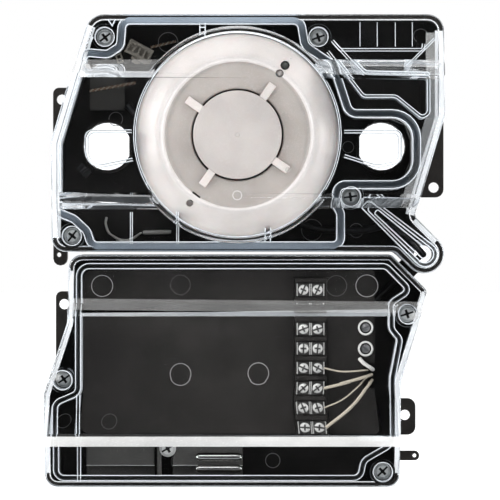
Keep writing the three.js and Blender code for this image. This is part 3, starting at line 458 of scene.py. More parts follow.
def together(first, *others):
    """Several separate shapes in one mesh."""
    for other in others:
        mesh = bpy.data.meshes.new("part")
        other.to_mesh(mesh)
        other.free()
        first.from_mesh(mesh)
        bpy.data.meshes.remove(mesh)
    return first


def piece(name, shape, material, body, *nodes, slot, smooth=32):
    """Stands a drawing up in the frame as a finished piece of the detector."""
    bmesh.ops.transform(shape, matrix=STAND, verts=shape.verts)
    mesh = bpy.data.meshes.new(name)
    shape.to_mesh(mesh)
    shape.free()
    mesh.shade_smooth()
    mesh.set_sharp_from_angle(angle=radians(smooth))
    mesh.materials.append(material)
    part = bpy.data.objects.new(name, mesh)
    bpy.context.scene.collection.objects.link(part)
    flats = part.modifiers.new("flats", "WEIGHTED_NORMAL")
    flats.keep_sharp = True
    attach(part, body)
    if nodes:
        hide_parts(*nodes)
    return part


# Levels and edges of the two modules, in millimetres, from the frame.
def edges(node):
    """Left, right, bottom, top, back and front of a node."""
    low, high = (corner * 1000 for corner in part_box(node))
    return low.x, high.x, low.z, high.z, -high.y, -low.y


LEFT, RIGHT, CLAW_FOOT, TOP, COVER_BACK, DEPTH = edges("sensor_cover")
RIM = edges("sensor_gasket")[5]
MARGIN = DEPTH - 13.5
COVER_WALL = 2.4


# Sensor gasket: closed-cell foam cord, bluish grey, laid in the groove round the sampling chamber.
HINGE = (RIGHT - 9.6, CLAW_FOOT + 9.55)
BOTTOM = HINGE[1] + 1
sensor_screws = [(LEFT + 25.8, TOP - 11), (39.5, TOP - 11), (LEFT + 9.8, BOTTOM + 7.8), (55.2, BOTTOM + 26.9)]
sensor_seal = [
    (LEFT + 19.35, BOTTOM + 2.95, 4), (50.3, BOTTOM + 2.95, 4), (50.3, -38.2, 3), (47.3, -32.4, 3),
    (49, -24.2, 4), (87, -24.2, 12), (87, 10.3, 12), (54.3, 10.3, 5), (46.5, 34.4, 5), (32.9, 43.6, 5),
    (30.8, TOP - 2.95, 4), (-56.2, TOP - 2.95, 4), (-57.1, 43.4, 4), (-63.4, 39.4, 4), (-74.45, 40.4, 3),
    (LEFT + 2.95, -3.9, 4), (LEFT + 2.95, BOTTOM + 19.4, 3), (-79.8, BOTTOM + 16.15, 5),
    (-73.45, BOTTOM + 10.2, 5),
]
foam = finish("seal_foam", (0.36, 0.42, 0.49), (0.55, 0.61, 0.67), 0.62, 3200, 0.55, 0.35, 0.05)
gasket = band(sensor_seal, 3.3, RIM - 1.3, RIM)
piece(
    "sensor_seal_cord", eased(gasket, 0.45, 40), foam, "sensor_module", "sensor_gasket",
    slot="gasket_rubber",
)


# Power gasket: the same foam in a narrower groove.
power_left, _, power_bottom, power_top = edges("power_cover")[:4]
shoulder = power_top - 17.7
POWER_RIGHT = power_left + 173.2
power_screws = [
    (power_left + 9.1, power_top - 61), (POWER_RIGHT + 3.7, power_top - 29.1),
    (POWER_RIGHT - 8.3, power_bottom + 7.3),
]
power_seal = [
    (power_left + 5.5, power_bottom + 4.5, 4), (POWER_RIGHT - 19.3, power_bottom + 4.5, 4),
    (POWER_RIGHT - 17.7, power_bottom + 13, 5), (POWER_RIGHT - 3.9, power_bottom + 21, 6),
    (POWER_RIGHT - 3.9, power_top - 60, 4), (POWER_RIGHT - 0.3, power_top - 41.1, 3),
    (POWER_RIGHT - 4.4, power_top - 36.1, 4), (POWER_RIGHT - 4.4, power_top - 23.6, 4),
    (POWER_RIGHT + 5, shoulder + 0.2, 3), (HINGE[0] - 18.7, power_top - 5.7, 4),
    (power_left + 16.7, power_top - 5.7, 5), (power_left + 16.7, power_top - 67.2, 4),
    (power_left + 5.5, power_top - 72, 4),
]
dark_foam = finish("power_seal_foam", (0.035, 0.035, 0.037), (0.12, 0.12, 0.12), 0.7, 3200, 0.4, 0.35, 0.05)
gasket = band(power_seal, 2.0, RIM - 1.3, RIM)
piece(
    "power_seal_cord", eased(gasket, 0.4, 40), dark_foam, "power_module", "power_gasket",
    slot="gasket_rubber",
)


# Covers: clear polycarbonate, injection moulded. The hollow is the cover's own outline moved in by the wall,
# less the ribs and screw wells that stand in it, and it is cut out of the solid outside.
smears, given, made = new_group(
    "handling_marks",
    [("Place", "NodeSocketVector", (0, 0, 0)), ("Roughness", "NodeSocketFloat", 0.03)],
    [("Roughness", "NodeSocketFloat")],
)
marks = noise(smears, 55, 7)
smears.links.new(given.outputs["Place"], marks.inputs["Vector"])
rubbed = ramp(smears, marks.outputs["Fac"], 0.5, 0.8, 0.0, 0.09)
smears.links.new(combined(smears, "ADD", given.outputs["Roughness"], rubbed), made.inputs["Roughness"])

clear_plastic = bpy.data.materials.new("clear_polycarbonate")
clear_plastic.use_nodes = True
tree = clear_plastic.node_tree
shader = tree.nodes["Principled BSDF"]
shader.inputs["Base Color"].default_value = (0.97, 0.985, 1.0, 1)
shader.inputs["Transmission Weight"].default_value = 1.0
shader.inputs["IOR"].default_value = 1.58
where = tree.nodes.new("ShaderNodeTexCoord")
film = tree.nodes.new("ShaderNodeGroup")
film.node_tree = smears
film.inputs["Roughness"].default_value = 0.015
tree.links.new(where.outputs["Object"], film.inputs["Place"])
tree.links.new(film.outputs["Roughness"], shader.inputs["Roughness"])
passed_by(tree, "Is Shadow Ray", "Is Diffuse Ray")
# Pale, partly clear finish for the covers' upright faces: painted light that stands for the bright edges of
# the clear walls.
pale_side_painted_light = finish(
    "pale_side_painted_light", (0.80, 0.84, 0.88), (0.95, 0.96, 0.97), 0.42, 2600, 0.5, 0.3, 0.0, Alpha=0.3,
)


DOME_REACH = 0.054


def side_faces(part):
    """A cover's upright faces take a pale, partly clear grained finish, painted light for the bright edges of
    the clear walls; only the dome's stay polished.
    """
    part.data.materials.append(pale_side_painted_light)
    for face in part.data.polygons:
        if abs(face.normal.y) < 0.15 and face.center.xz.length > DOME_REACH:
            face.material_index = 1


def cover_block(outline, ridge, inwards, back, ease):
    """A cover's outline as a solid: high in the middle, low at both ends, with its front edges rounded."""
    (top_foot, top_head), (bottom_foot, bottom_head) = ridge
    shape = rounded(moved(outline, inwards))
    for line in (top_foot, top_head, bottom_foot, bottom_head):
        everything = shape.verts[:] + shape.edges[:] + shape.faces[:]
        bmesh.ops.bisect_plane(shape, geom=everything, plane_co=(0, line, 0), plane_no=(0, 1, 0))
    for point in raised(shape, back, DEPTH - inwards):
        if not bottom_foot + 0.01 < point.co.y < top_foot - 0.01:
            point.co.z = MARGIN - inwards
    return eased(shape, ease, 25, 3, back + 1)


def narrowed(ridge, inwards):
    (top_foot, top_head), (bottom_foot, bottom_head) = ridge
    lean = inwards * 0.8
    return (top_foot - lean, top_head - lean), (bottom_foot + lean, bottom_head + lean)


SEAT = COVER_BACK + COVER_WALL + 0.3
WELL = 5.0
WELL_WALL = 1.2
SHANK = 2.2


def cover(outline, seal, seal_width, ridge, screws, dome=None, room_dome=None):
    outside = cover_block(outline, ridge, 0, COVER_BACK, 1.3)
    hollow = cover_block(outline, narrowed(ridge, COVER_WALL), COVER_WALL, COVER_BACK - 1, 0.8)
    if dome:
        outside = carved(outside, ("UNION", dome))
        hollow = carved(hollow, ("UNION", room_dome))
    kept = [band(seal, seal_width / 2, COVER_BACK - 2, DEPTH + 1)]
    kept += [rod(WELL + WELL_WALL, COVER_BACK - 2, DEPTH + 1, screw) for screw in screws]
    hollow = carved(hollow, *(("DIFFERENCE", rib) for rib in kept))
    holes = [rod(WELL, COVER_BACK + COVER_WALL, DEPTH + 1, screw) for screw in screws]
    holes += [rod(SHANK, COVER_BACK - 1, DEPTH, screw) for screw in screws]
    return carved(outside, ("DIFFERENCE", hollow), *(("DIFFERENCE", hole) for hole in holes))


def ridge_faces(part, material, side):
    """The sloping faces of a cover's top ridge (side 1) or bottom ridge (side -1) are textured."""
    part.data.materials.append(material)
    for face in part.data.polygons:
        if -0.5 < face.normal.y < -0.15 and face.normal.z * side > 0.8 and face.area > 1e-4:
            face.material_index = len(part.data.materials) - 1


# The faces of the ribs inside the covers are thin pale sheets, so each rib shows as two pale lines, and the
# inside of each screw well as one: the mould's spark texture, with painted highlight for the light the clear
# ribs carry to their edges.
rib_texture_and_highlight = finish(
    "rib_texture_and_painted_highlight", (0.78, 0.82, 0.86), (0.95, 0.96, 0.97), 0.32, 2600, 0.5, 0.3, 0.02, Alpha=0.78,
)
LINE = 0.34


def rib_lines(outline, ridge, lines, dome=None):
    """The faces of ribs, trimmed to just inside a cover."""
    hair = 0.04
    inwards = COVER_WALL + hair
    room = cover_block(outline, narrowed(ridge, inwards), inwards, COVER_BACK + 0.05, 0.8)
    if dome:
        room = carved(room, ("UNION", dome))
    return together(*(carved(line, ("INTERSECT", room.copy())) for line in lines))


def both_faces(points, thickness, low, corner=0.0):
    return [wall(beside(points, side), LINE, low, DEPTH, corner) for side in (thickness / 2, -thickness / 2)]


def well_lines(screws):
    return [hoop(WELL - 0.5, LINE, SEAT, DEPTH, place, 48) for place in screws]


# Sensor cover: flat in the middle, stepped down at the top and bottom, with a round dome over the head, a rib
# on the seal, a ring that hangs round the head and rails round both ports.
sensor_outline = [
    (LEFT, BOTTOM, 7), (76.7, BOTTOM, 3), (HINGE[0], HINGE[1] - 13.5, 9.5), (HINGE[0] + 13.5, HINGE[1], 9.5),
    (86.2, -39.3, 3), (RIGHT, 9.3, 4), (RIGHT, TOP, 8.3), (LEFT + 18.7, TOP, 9), (LEFT, -3.4, 4),
]
SENSOR_RIDGE = (36.3, 29.4), (-35.8, -30.4)
DOME = 52.8
dome_profile = [
    (0, COVER_BACK), (DOME, COVER_BACK), (DOME, DEPTH - 2), (DOME - 0.3, DEPTH - 1.1),
    (DOME - 0.9, DEPTH - 0.4), (DOME - 1.9, DEPTH), (0, DEPTH),
]
room_profile = [
    (0, COVER_BACK - 1), (DOME - 2.4, COVER_BACK - 1), (DOME - 2.4, DEPTH - 3.6), (DOME - 2.7, DEPTH - 2.8),
    (DOME - 3.3, DEPTH - 2.4), (0, DEPTH - 2.4),
]
RAIL = 1.2
pocket = [
    (46.4, 46.1), (62.1, 29), (93, 28.4), (93, 10.3), (89.5, 8.3), (76.8, 18.6), (61.1, 18.6), (44, 40.6),
]
LOW, DEEP, RING = MARGIN - 5, MARGIN - 9, DEPTH - 3.2
sensor_ribs = [
    *(hoop(radius, LINE, RING, DEPTH) for radius in (49.3, 50.2)),
    *well_lines(sensor_screws),
    *both_faces([(-51.5, 1.6), (-73.2, 1.6), (-73.2, -11), (-68.5, -15.4), (-51, -11.8)], RAIL, LOW, 4),
    *both_faces([(52, 1.7), (79.3, 1.7), (79.3, -13), (68, -15.6), (52, -10.4)], RAIL, LOW, 3),
    *both_faces(pocket, RAIL, DEEP, 1.4),
    *both_faces([(91, 44.5), (90.6, 41.4), (50, 41.4), (46.8, 45)], RAIL, DEEP, 0.8),
    *both_faces([(96.4, 47), (81.7, 32.3)], 0.9, DEEP),
    *both_faces([(-51.6, -37.4), (-51.6, -53)], 0.9, DEEP),
    *both_faces([(-29, -37.4), (-29, -53)], 0.9, DEEP),
    *(wall([(x, 43.2), (x, 55)], 0.25, LOW, DEPTH) for x in (59.6, 68, 76.8, 85.1)),
    *(band(moved(sensor_seal, side), 0.42, RIM + 0.5, DEPTH) for side in (1.85, -1.85)),
]
for x, y in ((-17.3, 51.4), (14.5, -48.6)):
    uprights = [[(x + side, y - 3.4), (x + side, y + 3.4)] for side in (-1.3, 1.3)]
    rungs = [[(x - 1.3, y + up), (x + 1.3, y + up)] for up in (-1.2, 1.4)]
    sensor_ribs += [wall(line, 0.5, DEEP, DEPTH) for line in uprights + rungs]
for x, y in ((-61.4, 55.2), (-72.4, 46.2)):
    corners = [(x - 2.3, y + 1.7), (x + 2.3, y + 1.7), (x + 0.3, y - 2.3), (x - 2.3, y + 1.7)]
    sensor_ribs.append(wall(corners, 0.5, DEEP, DEPTH))
for radius, reach in ((6.3, 33), (4.4, 31), (2.5, 29)):
    aim = (Vector((61.7, -32)) - Vector(HINGE)).normalized() * reach
    side = Vector((-aim.y, aim.x)).normalized() * radius
    tip = -aim.normalized() * radius
    far = aim - tip
    narrow = side * 0.5
    track = [
        (*(Vector(HINGE) + corner), radius * bend)
        for corner, bend in ((tip + side, 0.9), (tip - side, 0.9), (far - narrow, 0.4), (far + narrow, 0.4))
    ]
    sensor_ribs.append(band(track, 0.5, DEEP, DEPTH))
shell = cover(
    sensor_outline, sensor_seal, 3.9, SENSOR_RIDGE, sensor_screws, spun(dome_profile, 128),
    spun(room_profile, 128),
)
moulding = piece(
    "sensor_clear_cover", shell, clear_plastic, "sensor_cover", "sensor_cover", slot="clear_moulding",
)
side_faces(moulding)
grey_ridge = finish("grey_ridge", (0.55, 0.55, 0.54), (0.9, 0.9, 0.9), 0.35, 900, 0.6, 0.4, 0.0, Alpha=0.22)
# The bottom ridge's finish: the ridge's texture in white, painted light for the bright floor that the
# downward slope mirrors.
white_ridge_painted_light = finish(
    "white_ridge_painted_light", (0.76, 0.76, 0.75), (0.92, 0.92, 0.91), 0.4, 900, 0.6, 0.5, 0.0, Alpha=0.8,
)
ridge_faces(moulding, grey_ridge, 1)


# Power cover: the same moulding without a dome, cut back at its shoulder for the hinge.
power_outline = [
    (power_left, power_bottom, 6.5), (POWER_RIGHT, power_bottom, 6.4), (POWER_RIGHT, shoulder - 44.7, 4),
    (POWER_RIGHT + 13.4, shoulder, 3), (HINGE[0] - 16.3, power_top, 3), (power_left + 11.5, power_top, 7),
    (power_left + 11.5, power_top - 32.9, 8), (power_left, power_top - 67.9, 6),
]
POWER_RIDGE = (power_top - 22.3, power_top - 27.7), (power_bottom + 20.8, power_bottom + 24)
shell = cover(power_outline, power_seal, 2.6, POWER_RIDGE, power_screws)
moulding = piece(
    "power_clear_cover", shell, clear_plastic, "power_cover", "power_cover", slot="clear_moulding",
)
side_faces(moulding)
ridge_faces(moulding, grey_ridge, 1)
# Its bottom ridge takes the white finish, painted light for the floor's light.
ridge_faces(moulding, white_ridge_painted_light, -1)


# Ribs inside both covers: their lines are trimmed to the hollow of the cover that they belong to, a hair
# clear of its wall.
lines = rib_lines(sensor_outline, SENSOR_RIDGE, sensor_ribs, spun(room_profile, 128))
piece("sensor_cover_ribs", lines, rib_texture_and_highlight, "sensor_cover", slot="clear_moulding")
inner_left = power_left + 16.9
power_ribs = [
    *both_faces([(inner_left, power_top - 68), (inner_left, power_bottom + 2.6)], 1.5, DEEP),
    *well_lines(power_screws),
    *(band(moved(power_seal, side), 0.4, RIM + 0.5, DEPTH) for side in (1.25, -1.25)),
]
lines = rib_lines(power_outline, POWER_RIDGE, power_ribs)
piece("power_cover_ribs", lines, rib_texture_and_highlight, "power_cover", slot="clear_moulding")


# Feet of the covers: down both sides the wall is thickened where it bears on the base, and it is textured;
# thin white strips there are painted light for the bright line that the clear wall shows from the front. The
# sensor cover's right margin carries a strip of the ridge's texture.
foot_painted_light = finish("textured_foot_painted_light", (0.93, 0.94, 0.95), (0.99, 0.99, 0.99), 0.45, 1500, 0.5, 0.3, 0.0)


def foot(points, inwards, width):
    level = COVER_BACK + 0.4
    return wall(beside(points, inwards + width / 2), width, level, level + 0.5)


left_run = [(LEFT + 17.2, TOP - 5), (LEFT, -3.4), (LEFT, BOTTOM + 7)]
right_run = [(86.2, -39.3), (RIGHT, 9.3), (RIGHT, TOP - 8)]
claw_run = [(HINGE[0] + 6.7, HINGE[1] + 6.8), (87.4, -40.5)]
feet = [foot(run, 1.2, 2.2) for run in (left_run, right_run, claw_run)]
feet += [foot(run, 3.4, 1.5) for run in (left_run, right_run)]
piece("sensor_cover_feet", together(*feet), foot_painted_light, "sensor_cover", slot="clear_moulding")
margin = wall([(96.4, TOP - 9), (96.4, 8.9), (83.6, -36)], 4.6, MARGIN - 3.2, MARGIN - 2.6)
piece("sensor_cover_margin", margin, grey_ridge, "sensor_cover", slot="clear_moulding")
left_run = [
    (power_left + 11.5, power_top - 8), (power_left + 11.5, power_top - 32.9), (power_left, power_top - 67.9),
    (power_left, power_bottom + 7),
]
right_run = [
    (POWER_RIGHT, power_bottom + 7), (POWER_RIGHT, shoulder - 44.7), (POWER_RIGHT + 13.4, shoulder - 1),
]
feet = [foot(run, 1.2, 2.2) for run in (left_run, right_run)]
piece("power_cover_feet", together(*feet), foot_painted_light, "power_cover", slot="clear_moulding")


# Cover screws: zinc-plated steel, a washer head with a cross and a slot, seated at the bottom of each well.
# The recess is painted dark as shade.
zinc = finish("zinc_plate", (0.86, 0.86, 0.84), (0.5, 0.5, 0.49), 0.34, 1500, 0.35, 0.12, 0.06, Metallic=0.55)


def cover_screw(place, turn):
    head = spun([
        (0, SEAT + 2.75), (1.8, SEAT + 2.7), (2.9, SEAT + 2.35), (3.3, SEAT + 1.7), (3.3, SEAT + 0.75),
        (3.9, SEAT + 0.65), (4.1, SEAT + 0.45), (4.1, SEAT), (1.9, SEAT), (1.9, SEAT - 12.8),
        (0, SEAT - 13.4),
    ], 48)
    slot = box(-4.4, 4.4, -0.45, 0.45, SEAT + 1.5, SEAT + 4)
    cross = box(-2.2, 2.2, -0.6, 0.6, SEAT + 0.7, SEAT + 4, 90)
    centre = rod(0.95, SEAT + 0.5, SEAT + 4, segments=12)
    head = carved(head, ("DIFFERENCE", slot), ("DIFFERENCE", cross), ("DIFFERENCE", centre))
    # Faces inside the cross and slot take the second finish: painted shade in the recess.
    for face in head.faces:
        spot, upward = face.calc_center_median(), face.normal.z
        painted_shade_face = spot.xy.length < 3.2 and SEAT < spot.z < SEAT + 2.45
        if painted_shade_face and (abs(upward) < 0.3 or upward > 0.97):
            face.material_index = 1
    return placed(head, (*place, 0), turn)


# Painted shade for the recesses of the screw heads.
recess_shade = finish("painted_recess_shade", (0.015, 0.014, 0.013), (0.05, 0.05, 0.045), 0.7, 2600, 0.4, 0.2, 0.0)
for body, screws, turns in (
    ("sensor_cover", sensor_screws, (38, 20, 52, 8)), ("power_cover", power_screws, (35, 18, 44)),
):
    for i, (place, turn) in enumerate(zip(screws, turns), 1):
        name = f"{body}_screw_{i}"
        part = piece(f"{name}_head", cover_screw(place, turn), zinc, body, name, slot="zinc_screws")
        part.data.materials.append(recess_shade)


# Smoke head: one moulded shell in warm light grey, a cone that rises to a bead, with a sunk ring inside the
# bead. Two lamp holes, a test port and a vent slot go through it.
HEAD_BACK, HEAD_FRONT = edges("head_housing")[4:]
CAP_BACK, CAP_FRONT = edges("head_cap")[4:]
FACE = HEAD_FRONT - 1.2
HEAD = 49.5
head_plastic = finish(
    "head_plastic", (0.58, 0.535, 0.51), (0.76, 0.72, 0.69), 0.34, 1500, 0.35, 0.10, 0.10,
    Subsurface_Weight=0.12, Subsurface_Scale=0.004,
)
housing = spun([
    (HEAD, HEAD_BACK), (HEAD, FACE - 17), (49.45, FACE - 13.8), (49.0, FACE - 11.4), (48.0, FACE - 8.9),
    (46.2, FACE - 6.5), (43.6, FACE - 4.3), (40.8, FACE - 2.4), (38.3, FACE - 0.9), (37.6, FACE + 0.3),
    (37.1, FACE + 0.95), (36.5, FACE + 1.2), (35.9, FACE + 0.95), (35.5, FACE + 0.3), (34.9, FACE - 0.2),
    (34.2, FACE - 0.35), (33.4, FACE - 0.35), (22.9, FACE), (22.4, FACE - 0.3), (22.4, FACE - 2),
    (35.4, FACE - 2), (40.5, FACE - 7.5), (44.5, FACE - 13), (47.5, FACE - 22), (47.5, HEAD_BACK),
    (HEAD, HEAD_BACK),
], 144)
lamp_places = {"power_lamp": (23.1, 33.8, 2.25), "alarm_lamp": (20.5, 29.9, 1.95)}
for x, y, radius in lamp_places.values():
    housing = carved(housing, ("DIFFERENCE", rod(radius, FACE - 24, DEPTH, (x, y), 32)))
housing = carved(housing, ("DIFFERENCE", rod(1.7, FACE - 6, DEPTH, (-23.2, -33.1), 32)))
housing = carved(housing, ("DIFFERENCE", box(-2.3, 2.3, -0.45, 0.45, FACE - 3, DEPTH, -36, (-20, -29.1))))
# The sunk ring's front faces are painted darker as shade under the cap, and the bead's lighter as a painted
# highlight.
for face in housing.faces:
    spot = face.calc_center_median()
    if face.normal.z > 0.3 and spot.xy.length < 38.6:
        face.material_index = 1 if spot.xy.length < 35.2 else 2
# A darker copy of the head plastic: painted shade on the sunk ring under the cap.
ring_painted_shade = finish(
    "head_ring_painted_shade", (0.35, 0.315, 0.29), (0.50, 0.46, 0.43), 0.55, 1500, 0.4, 0.15, 0.10,
    Subsurface_Weight=0.12, Subsurface_Scale=0.004,
)
# A lighter, glossier copy of the head plastic: painted highlight on the bead.
bead_painted_highlight = finish(
    "head_bead_painted_highlight", (0.60, 0.56, 0.54), (0.76, 0.73, 0.71), 0.26, 1500, 0.35, 0.05, 0.05,
)
part = piece("head_shell", housing, head_plastic, "sensor_head", "head_housing", slot="head_moulding")
part.data.materials.append(ring_painted_shade)
part.data.materials.append(bead_painted_highlight)


# Raised marks on the head: a small hoop on the sunk ring below the cap, and a dot outside the bead by a lamp,
# both in the bead's painted-highlight finish.
boss = hoop(1.9, 0.5, FACE - 0.4, FACE + 0.15, (-0.1, -29.4), 40)
dot = rod(0.55, FACE - 4, FACE - 1.1, (25.9, 37.0), 20)
piece("head_marks", together(boss, dot), bead_painted_highlight, "sensor_head", slot="head_moulding")


# Head cap: a flat disc on four straight fins, with a dot in the middle and a small hoop on one fin.
cap = eased(rod(21.5, CAP_BACK, CAP_FRONT, segments=128), 0.45, 40)
for turn in (55, 145, 235, 325):
    fin = eased(box(18, 30, -1.95, 1.95, FACE + 0.3, CAP_FRONT - 0.5, turn), 0.4, 40)
    cap = carved(cap, ("UNION", fin))
centre_dot = spun([
    (0, CAP_FRONT + 0.35), (0.8, CAP_FRONT + 0.28), (1.3, CAP_FRONT - 0.2), (0, CAP_FRONT - 0.2),
], 32)
fin_dot = hoop(0.8, 0.45, CAP_FRONT - 0.9, CAP_FRONT - 0.3, (24.4, -17.0), 32)
cap = carved(cap, ("UNION", centre_dot))
for face in cap.faces:
    if face.calc_center_median().xy.length > 21.8:
        face.material_index = 1
cap_plastic = finish(
    "cap_plastic", (0.42, 0.385, 0.365), (0.60, 0.56, 0.54), 0.45, 1500, 0.4, 0.12, 0.10,
    Subsurface_Weight=0.12, Subsurface_Scale=0.004,
)
cap = together(cap, fin_dot)
part = piece("head_cap_disc", cap, cap_plastic, "sensor_head", "head_cap", slot="head_moulding")
part.data.materials.append(head_plastic)


# Lamps: small domed light pipes, unlit; the power lamp is dark and the alarm lamp is frosted.
for node, colour, spot, top in (
    ("power_lamp", (0.07, 0.075, 0.07), (0.2, 0.22, 0.2), FACE - 4.2),
    ("alarm_lamp", (0.33, 0.31, 0.30), (0.5, 0.48, 0.46), FACE - 0.6),
):
    x, y, hole = lamp_places[node]
    radius, back = hole - 0.25, edges(node)[4]
    lens = spun([
        (0, top), (radius * 0.5, top - 0.15), (radius * 0.85, top - 0.6), (radius, top - 1.2), (radius, back),
        (0, back),
    ], 32, (x, y))
    lens_plastic = finish(f"{node}_lens", colour, spot, 0.15, 1800, 0.4, 0.05, 0.02)
    piece(f"{node}_lens", lens, lens_plastic, "sensor_head", node, slot="lamp")


# Inside the head: the sensing chamber, its insect screen and the round board keep their own shapes, and so do
# the boards, the transformer and the hinge's bushing, which get their finishes here too.
chamber_black = finish("chamber_black", (0.012, 0.012, 0.013), (0.06, 0.06, 0.06), 0.55, 2600, 0.3, 0.2, 0.05)
screen_steel = finish("screen_steel", (0.30, 0.30, 0.31), (0.12, 0.12, 0.12), 0.4, 4200, 0.7, 0.4, 0.1,
                      Metallic=1.0)
board_mask = finish("solder_mask", (0.030, 0.027, 0.022), (0.11, 0.09, 0.07), 0.4, 1900, 0.3, 0.12, 0.08)
refinish(chamber_black, "sensing_chamber", "head_base")
refinish(screen_steel, "insect_screen", "transformer")
refinish(board_mask, "head_board", "sensor_board", "circuit_board")
refinish(zinc, "hinge_bushing")


# Port seals and the clip by the inlet: black rubber and a stack of spring blades.
rubber = finish("port_rubber", (0.014, 0.014, 0.015), (0.07, 0.07, 0.07), 0.75, 3000, 0.5, 0.4, 0.15)
refinish(rubber, "capacitor")
for node in ("inlet_seal", "exhaust_seal"):
    left, right, bottom, top, back, front = edges(node)
    outer = (right - left) / 2
    washer = spun([
        (outer - 2.2, back), (outer - 2.2, front - 0.3), (outer - 1.9, front), (outer - 0.3, front),
        (outer, front - 0.3), (outer, back), (outer - 2.2, back),
    ], 64, ((left + right) / 2, (bottom + top) / 2))
    piece(f"{node}_ring", washer, rubber, "sensor_module", node, slot="gasket_rubber")
clip_black = finish("clip_black", (0.03, 0.03, 0.032), (0.16, 0.16, 0.17), 0.35, 2400, 0.4, 0.1, 0.05)
refinish(clip_black, "port_clip")


# Marks in the trays: the thin rings that ejector pins leave in the moulding, on the sensor tray's floor, on
# the shroud's face and on the power tray's floor.
# The rings are painted pale on the black moulding: painted highlight where their edges catch the light.
pin_mark_painted_highlight = finish("pin_mark_painted_highlight", (0.34, 0.335, 0.33), (0.55, 0.54, 0.53), 0.3, 2400, 0.4, 0.1, 0.05)
# A dimmer painted highlight for the faint marks.
faint_pin_mark_highlight = finish(
    "faint_pin_mark_painted_highlight", (0.09, 0.088, 0.086), (0.2, 0.19, 0.19), 0.35, 2400, 0.4, 0.1, 0.05,
)


def pin_marks(places, level, width=0.35, height=0.35):
    """Thin hoops on a face, each place being a centre and a radius."""
    return together(*(
        hoop(radius, width, level - 0.1, level + height, (x, y), 40) for x, y, radius in places
    ))


TRAY_FLOOR = 2.6
marks = pin_marks([
    (-34.4, 46, 4.7), (-60.4, 8.8, 3.2), (36.8, -45.6, 5), (58.7, -46, 3.2), (90.7, 48.5, 3.3),
    (54.7, -5.1, 2.6),
], TRAY_FLOOR)
piece("sensor_tray_marks", marks, pin_mark_painted_highlight, "sensor_module", slot="black_moulding")


# Power shroud: a black box moulding over the power board, with its face behind the cover. It keeps its own
# shape, and pin marks show on its face and on the tray beside it, some of them faint.
SHROUD_LEFT, SHROUD_RIGHT, SHROUD_BOTTOM, _, _, SHROUD_FRONT = edges("board_shroud")
refinish(black_plastic, "board_shroud", "terminal_block")
marks = pin_marks([
    (-66.3, -73.5, 5), (63.3, -73.5, 5.2), (-28, -116.4, 4.9), (10.1, -116.1, 4.9),
], SHROUD_FRONT)
piece("shroud_marks", marks, pin_mark_painted_highlight, "power_module", slot="black_moulding")
marks = pin_marks([(-28, -73, 4.7), (48.4, -73.5, 4.9), (-61.4, -139.1, 3.6)], SHROUD_FRONT, 0.25, 0.2)
piece("shroud_faint_marks", marks, faint_pin_mark_highlight, "power_module", slot="black_moulding")
marks = pin_marks([(-28, -158.8, 4.8), (17.3, -158.3, 3.4), (-83.2, -138.7, 3.3)], TRAY_FLOOR)
piece("power_tray_marks", marks, pin_mark_painted_highlight, "power_module", slot="black_moulding")


# Terminal screws: nickel-plated, a slotted head on a square saddle with turned-up sides, in two columns. The
# slot in each head is painted dark as shade.
saddle_steel_and_slot_shade = finish("saddle_steel_and_slot_shade", (0.06, 0.058, 0.055), (0.2, 0.19, 0.18), 0.4, 1500, 0.35, 0.2, 0.05)
nickel = finish(
    "nickel_plate", (0.88, 0.87, 0.84), (0.5, 0.5, 0.48), 0.3, 1500, 0.35, 0.1, 0.04, Metallic=0.6,
)


def terminal_screw(place, level, turn):
    saddle = eased(box(-3.15, 3.15, -3.0, 3.0, level - 0.1, level + 0.35), 0.15, 40, 2)
    sides = [
        eased(box(left, left + 0.45, -3.0, 3.0, level, level + 1.15), 0.12, 40, 2) for left in (-3.3, 2.85)
    ]
    head = spun([
        (0, level + 2.3), (1.3, level + 2.25), (2.1, level + 1.95), (2.45, level + 1.45), (2.45, level + 0.4),
        (0, level + 0.4),
    ], 32)
    slot_floor = level + 1.25
    slot = box(-3.2, 3.2, -0.4, 0.4, slot_floor, level + 3)
    cross = box(-1.5, 1.5, -0.4, 0.4, slot_floor, level + 3, 90)
    head = carved(head, ("DIFFERENCE", slot), ("DIFFERENCE", cross))
    # The slot's floor and walls take the saddle's dark steel as painted shade in the slot.
    for face in head.faces:
        spot = face.calc_center_median()
        if abs(spot.z - slot_floor) < 0.05 or (abs(face.normal.z) < 0.2 and spot.xy.length < 2.3):
            face.material_index = 1
    for face in saddle.faces:
        face.material_index = 1
    return placed(together(saddle, *sides, placed(head, (0, 0, 0), turn)), (*place, 0))


for number in range(1, 17):
    node = f"terminal_screw_{number}"
    left, right, bottom, top, back, _ = edges(node)
    place = (left + right) / 2, (bottom + top) / 2
    screw = terminal_screw(place, back, (number * 67) % 180)
    part = piece(f"{node}_saddle", screw, nickel, "power_module", node, slot="zinc_screws")
    part.data.materials.append(saddle_steel_and_slot_shade)


# Test posts: a white nylon collar round a slotted stud.
nylon = finish("white_nylon", (0.74, 0.73, 0.70), (0.88, 0.87, 0.84), 0.38, 2000, 0.4, 0.15, 0.1)
for node, turn in (("upper_post", 25), ("lower_post", -40)):
    left, right, bottom, top, back, _ = edges(node)
    place = (left + right) / 2, (bottom + top) / 2
    collar = spun([
        (2.8, back), (2.8, back + 2.8), (2.95, back + 3.1), (3.3, back + 3.2), (3.65, back + 2.8),
        (3.8, back + 2.0), (3.8, back), (2.8, back),
    ], 48, place)
    piece(f"{node}_collar", collar, nylon, "power_module", node, slot="white_nylon")
    stud = spun([(0, back + 2.2), (1.4, back + 2.1), (2.2, back + 1.6), (2.2, back), (0, back)], 32)
    stud = carved(stud, ("DIFFERENCE", box(-2.4, 2.4, -0.4, 0.4, back + 1.3, back + 3, turn)))
    piece(f"{node}_stud", placed(stud, (*place, 0)), screen_steel, "power_module", slot="zinc_screws")


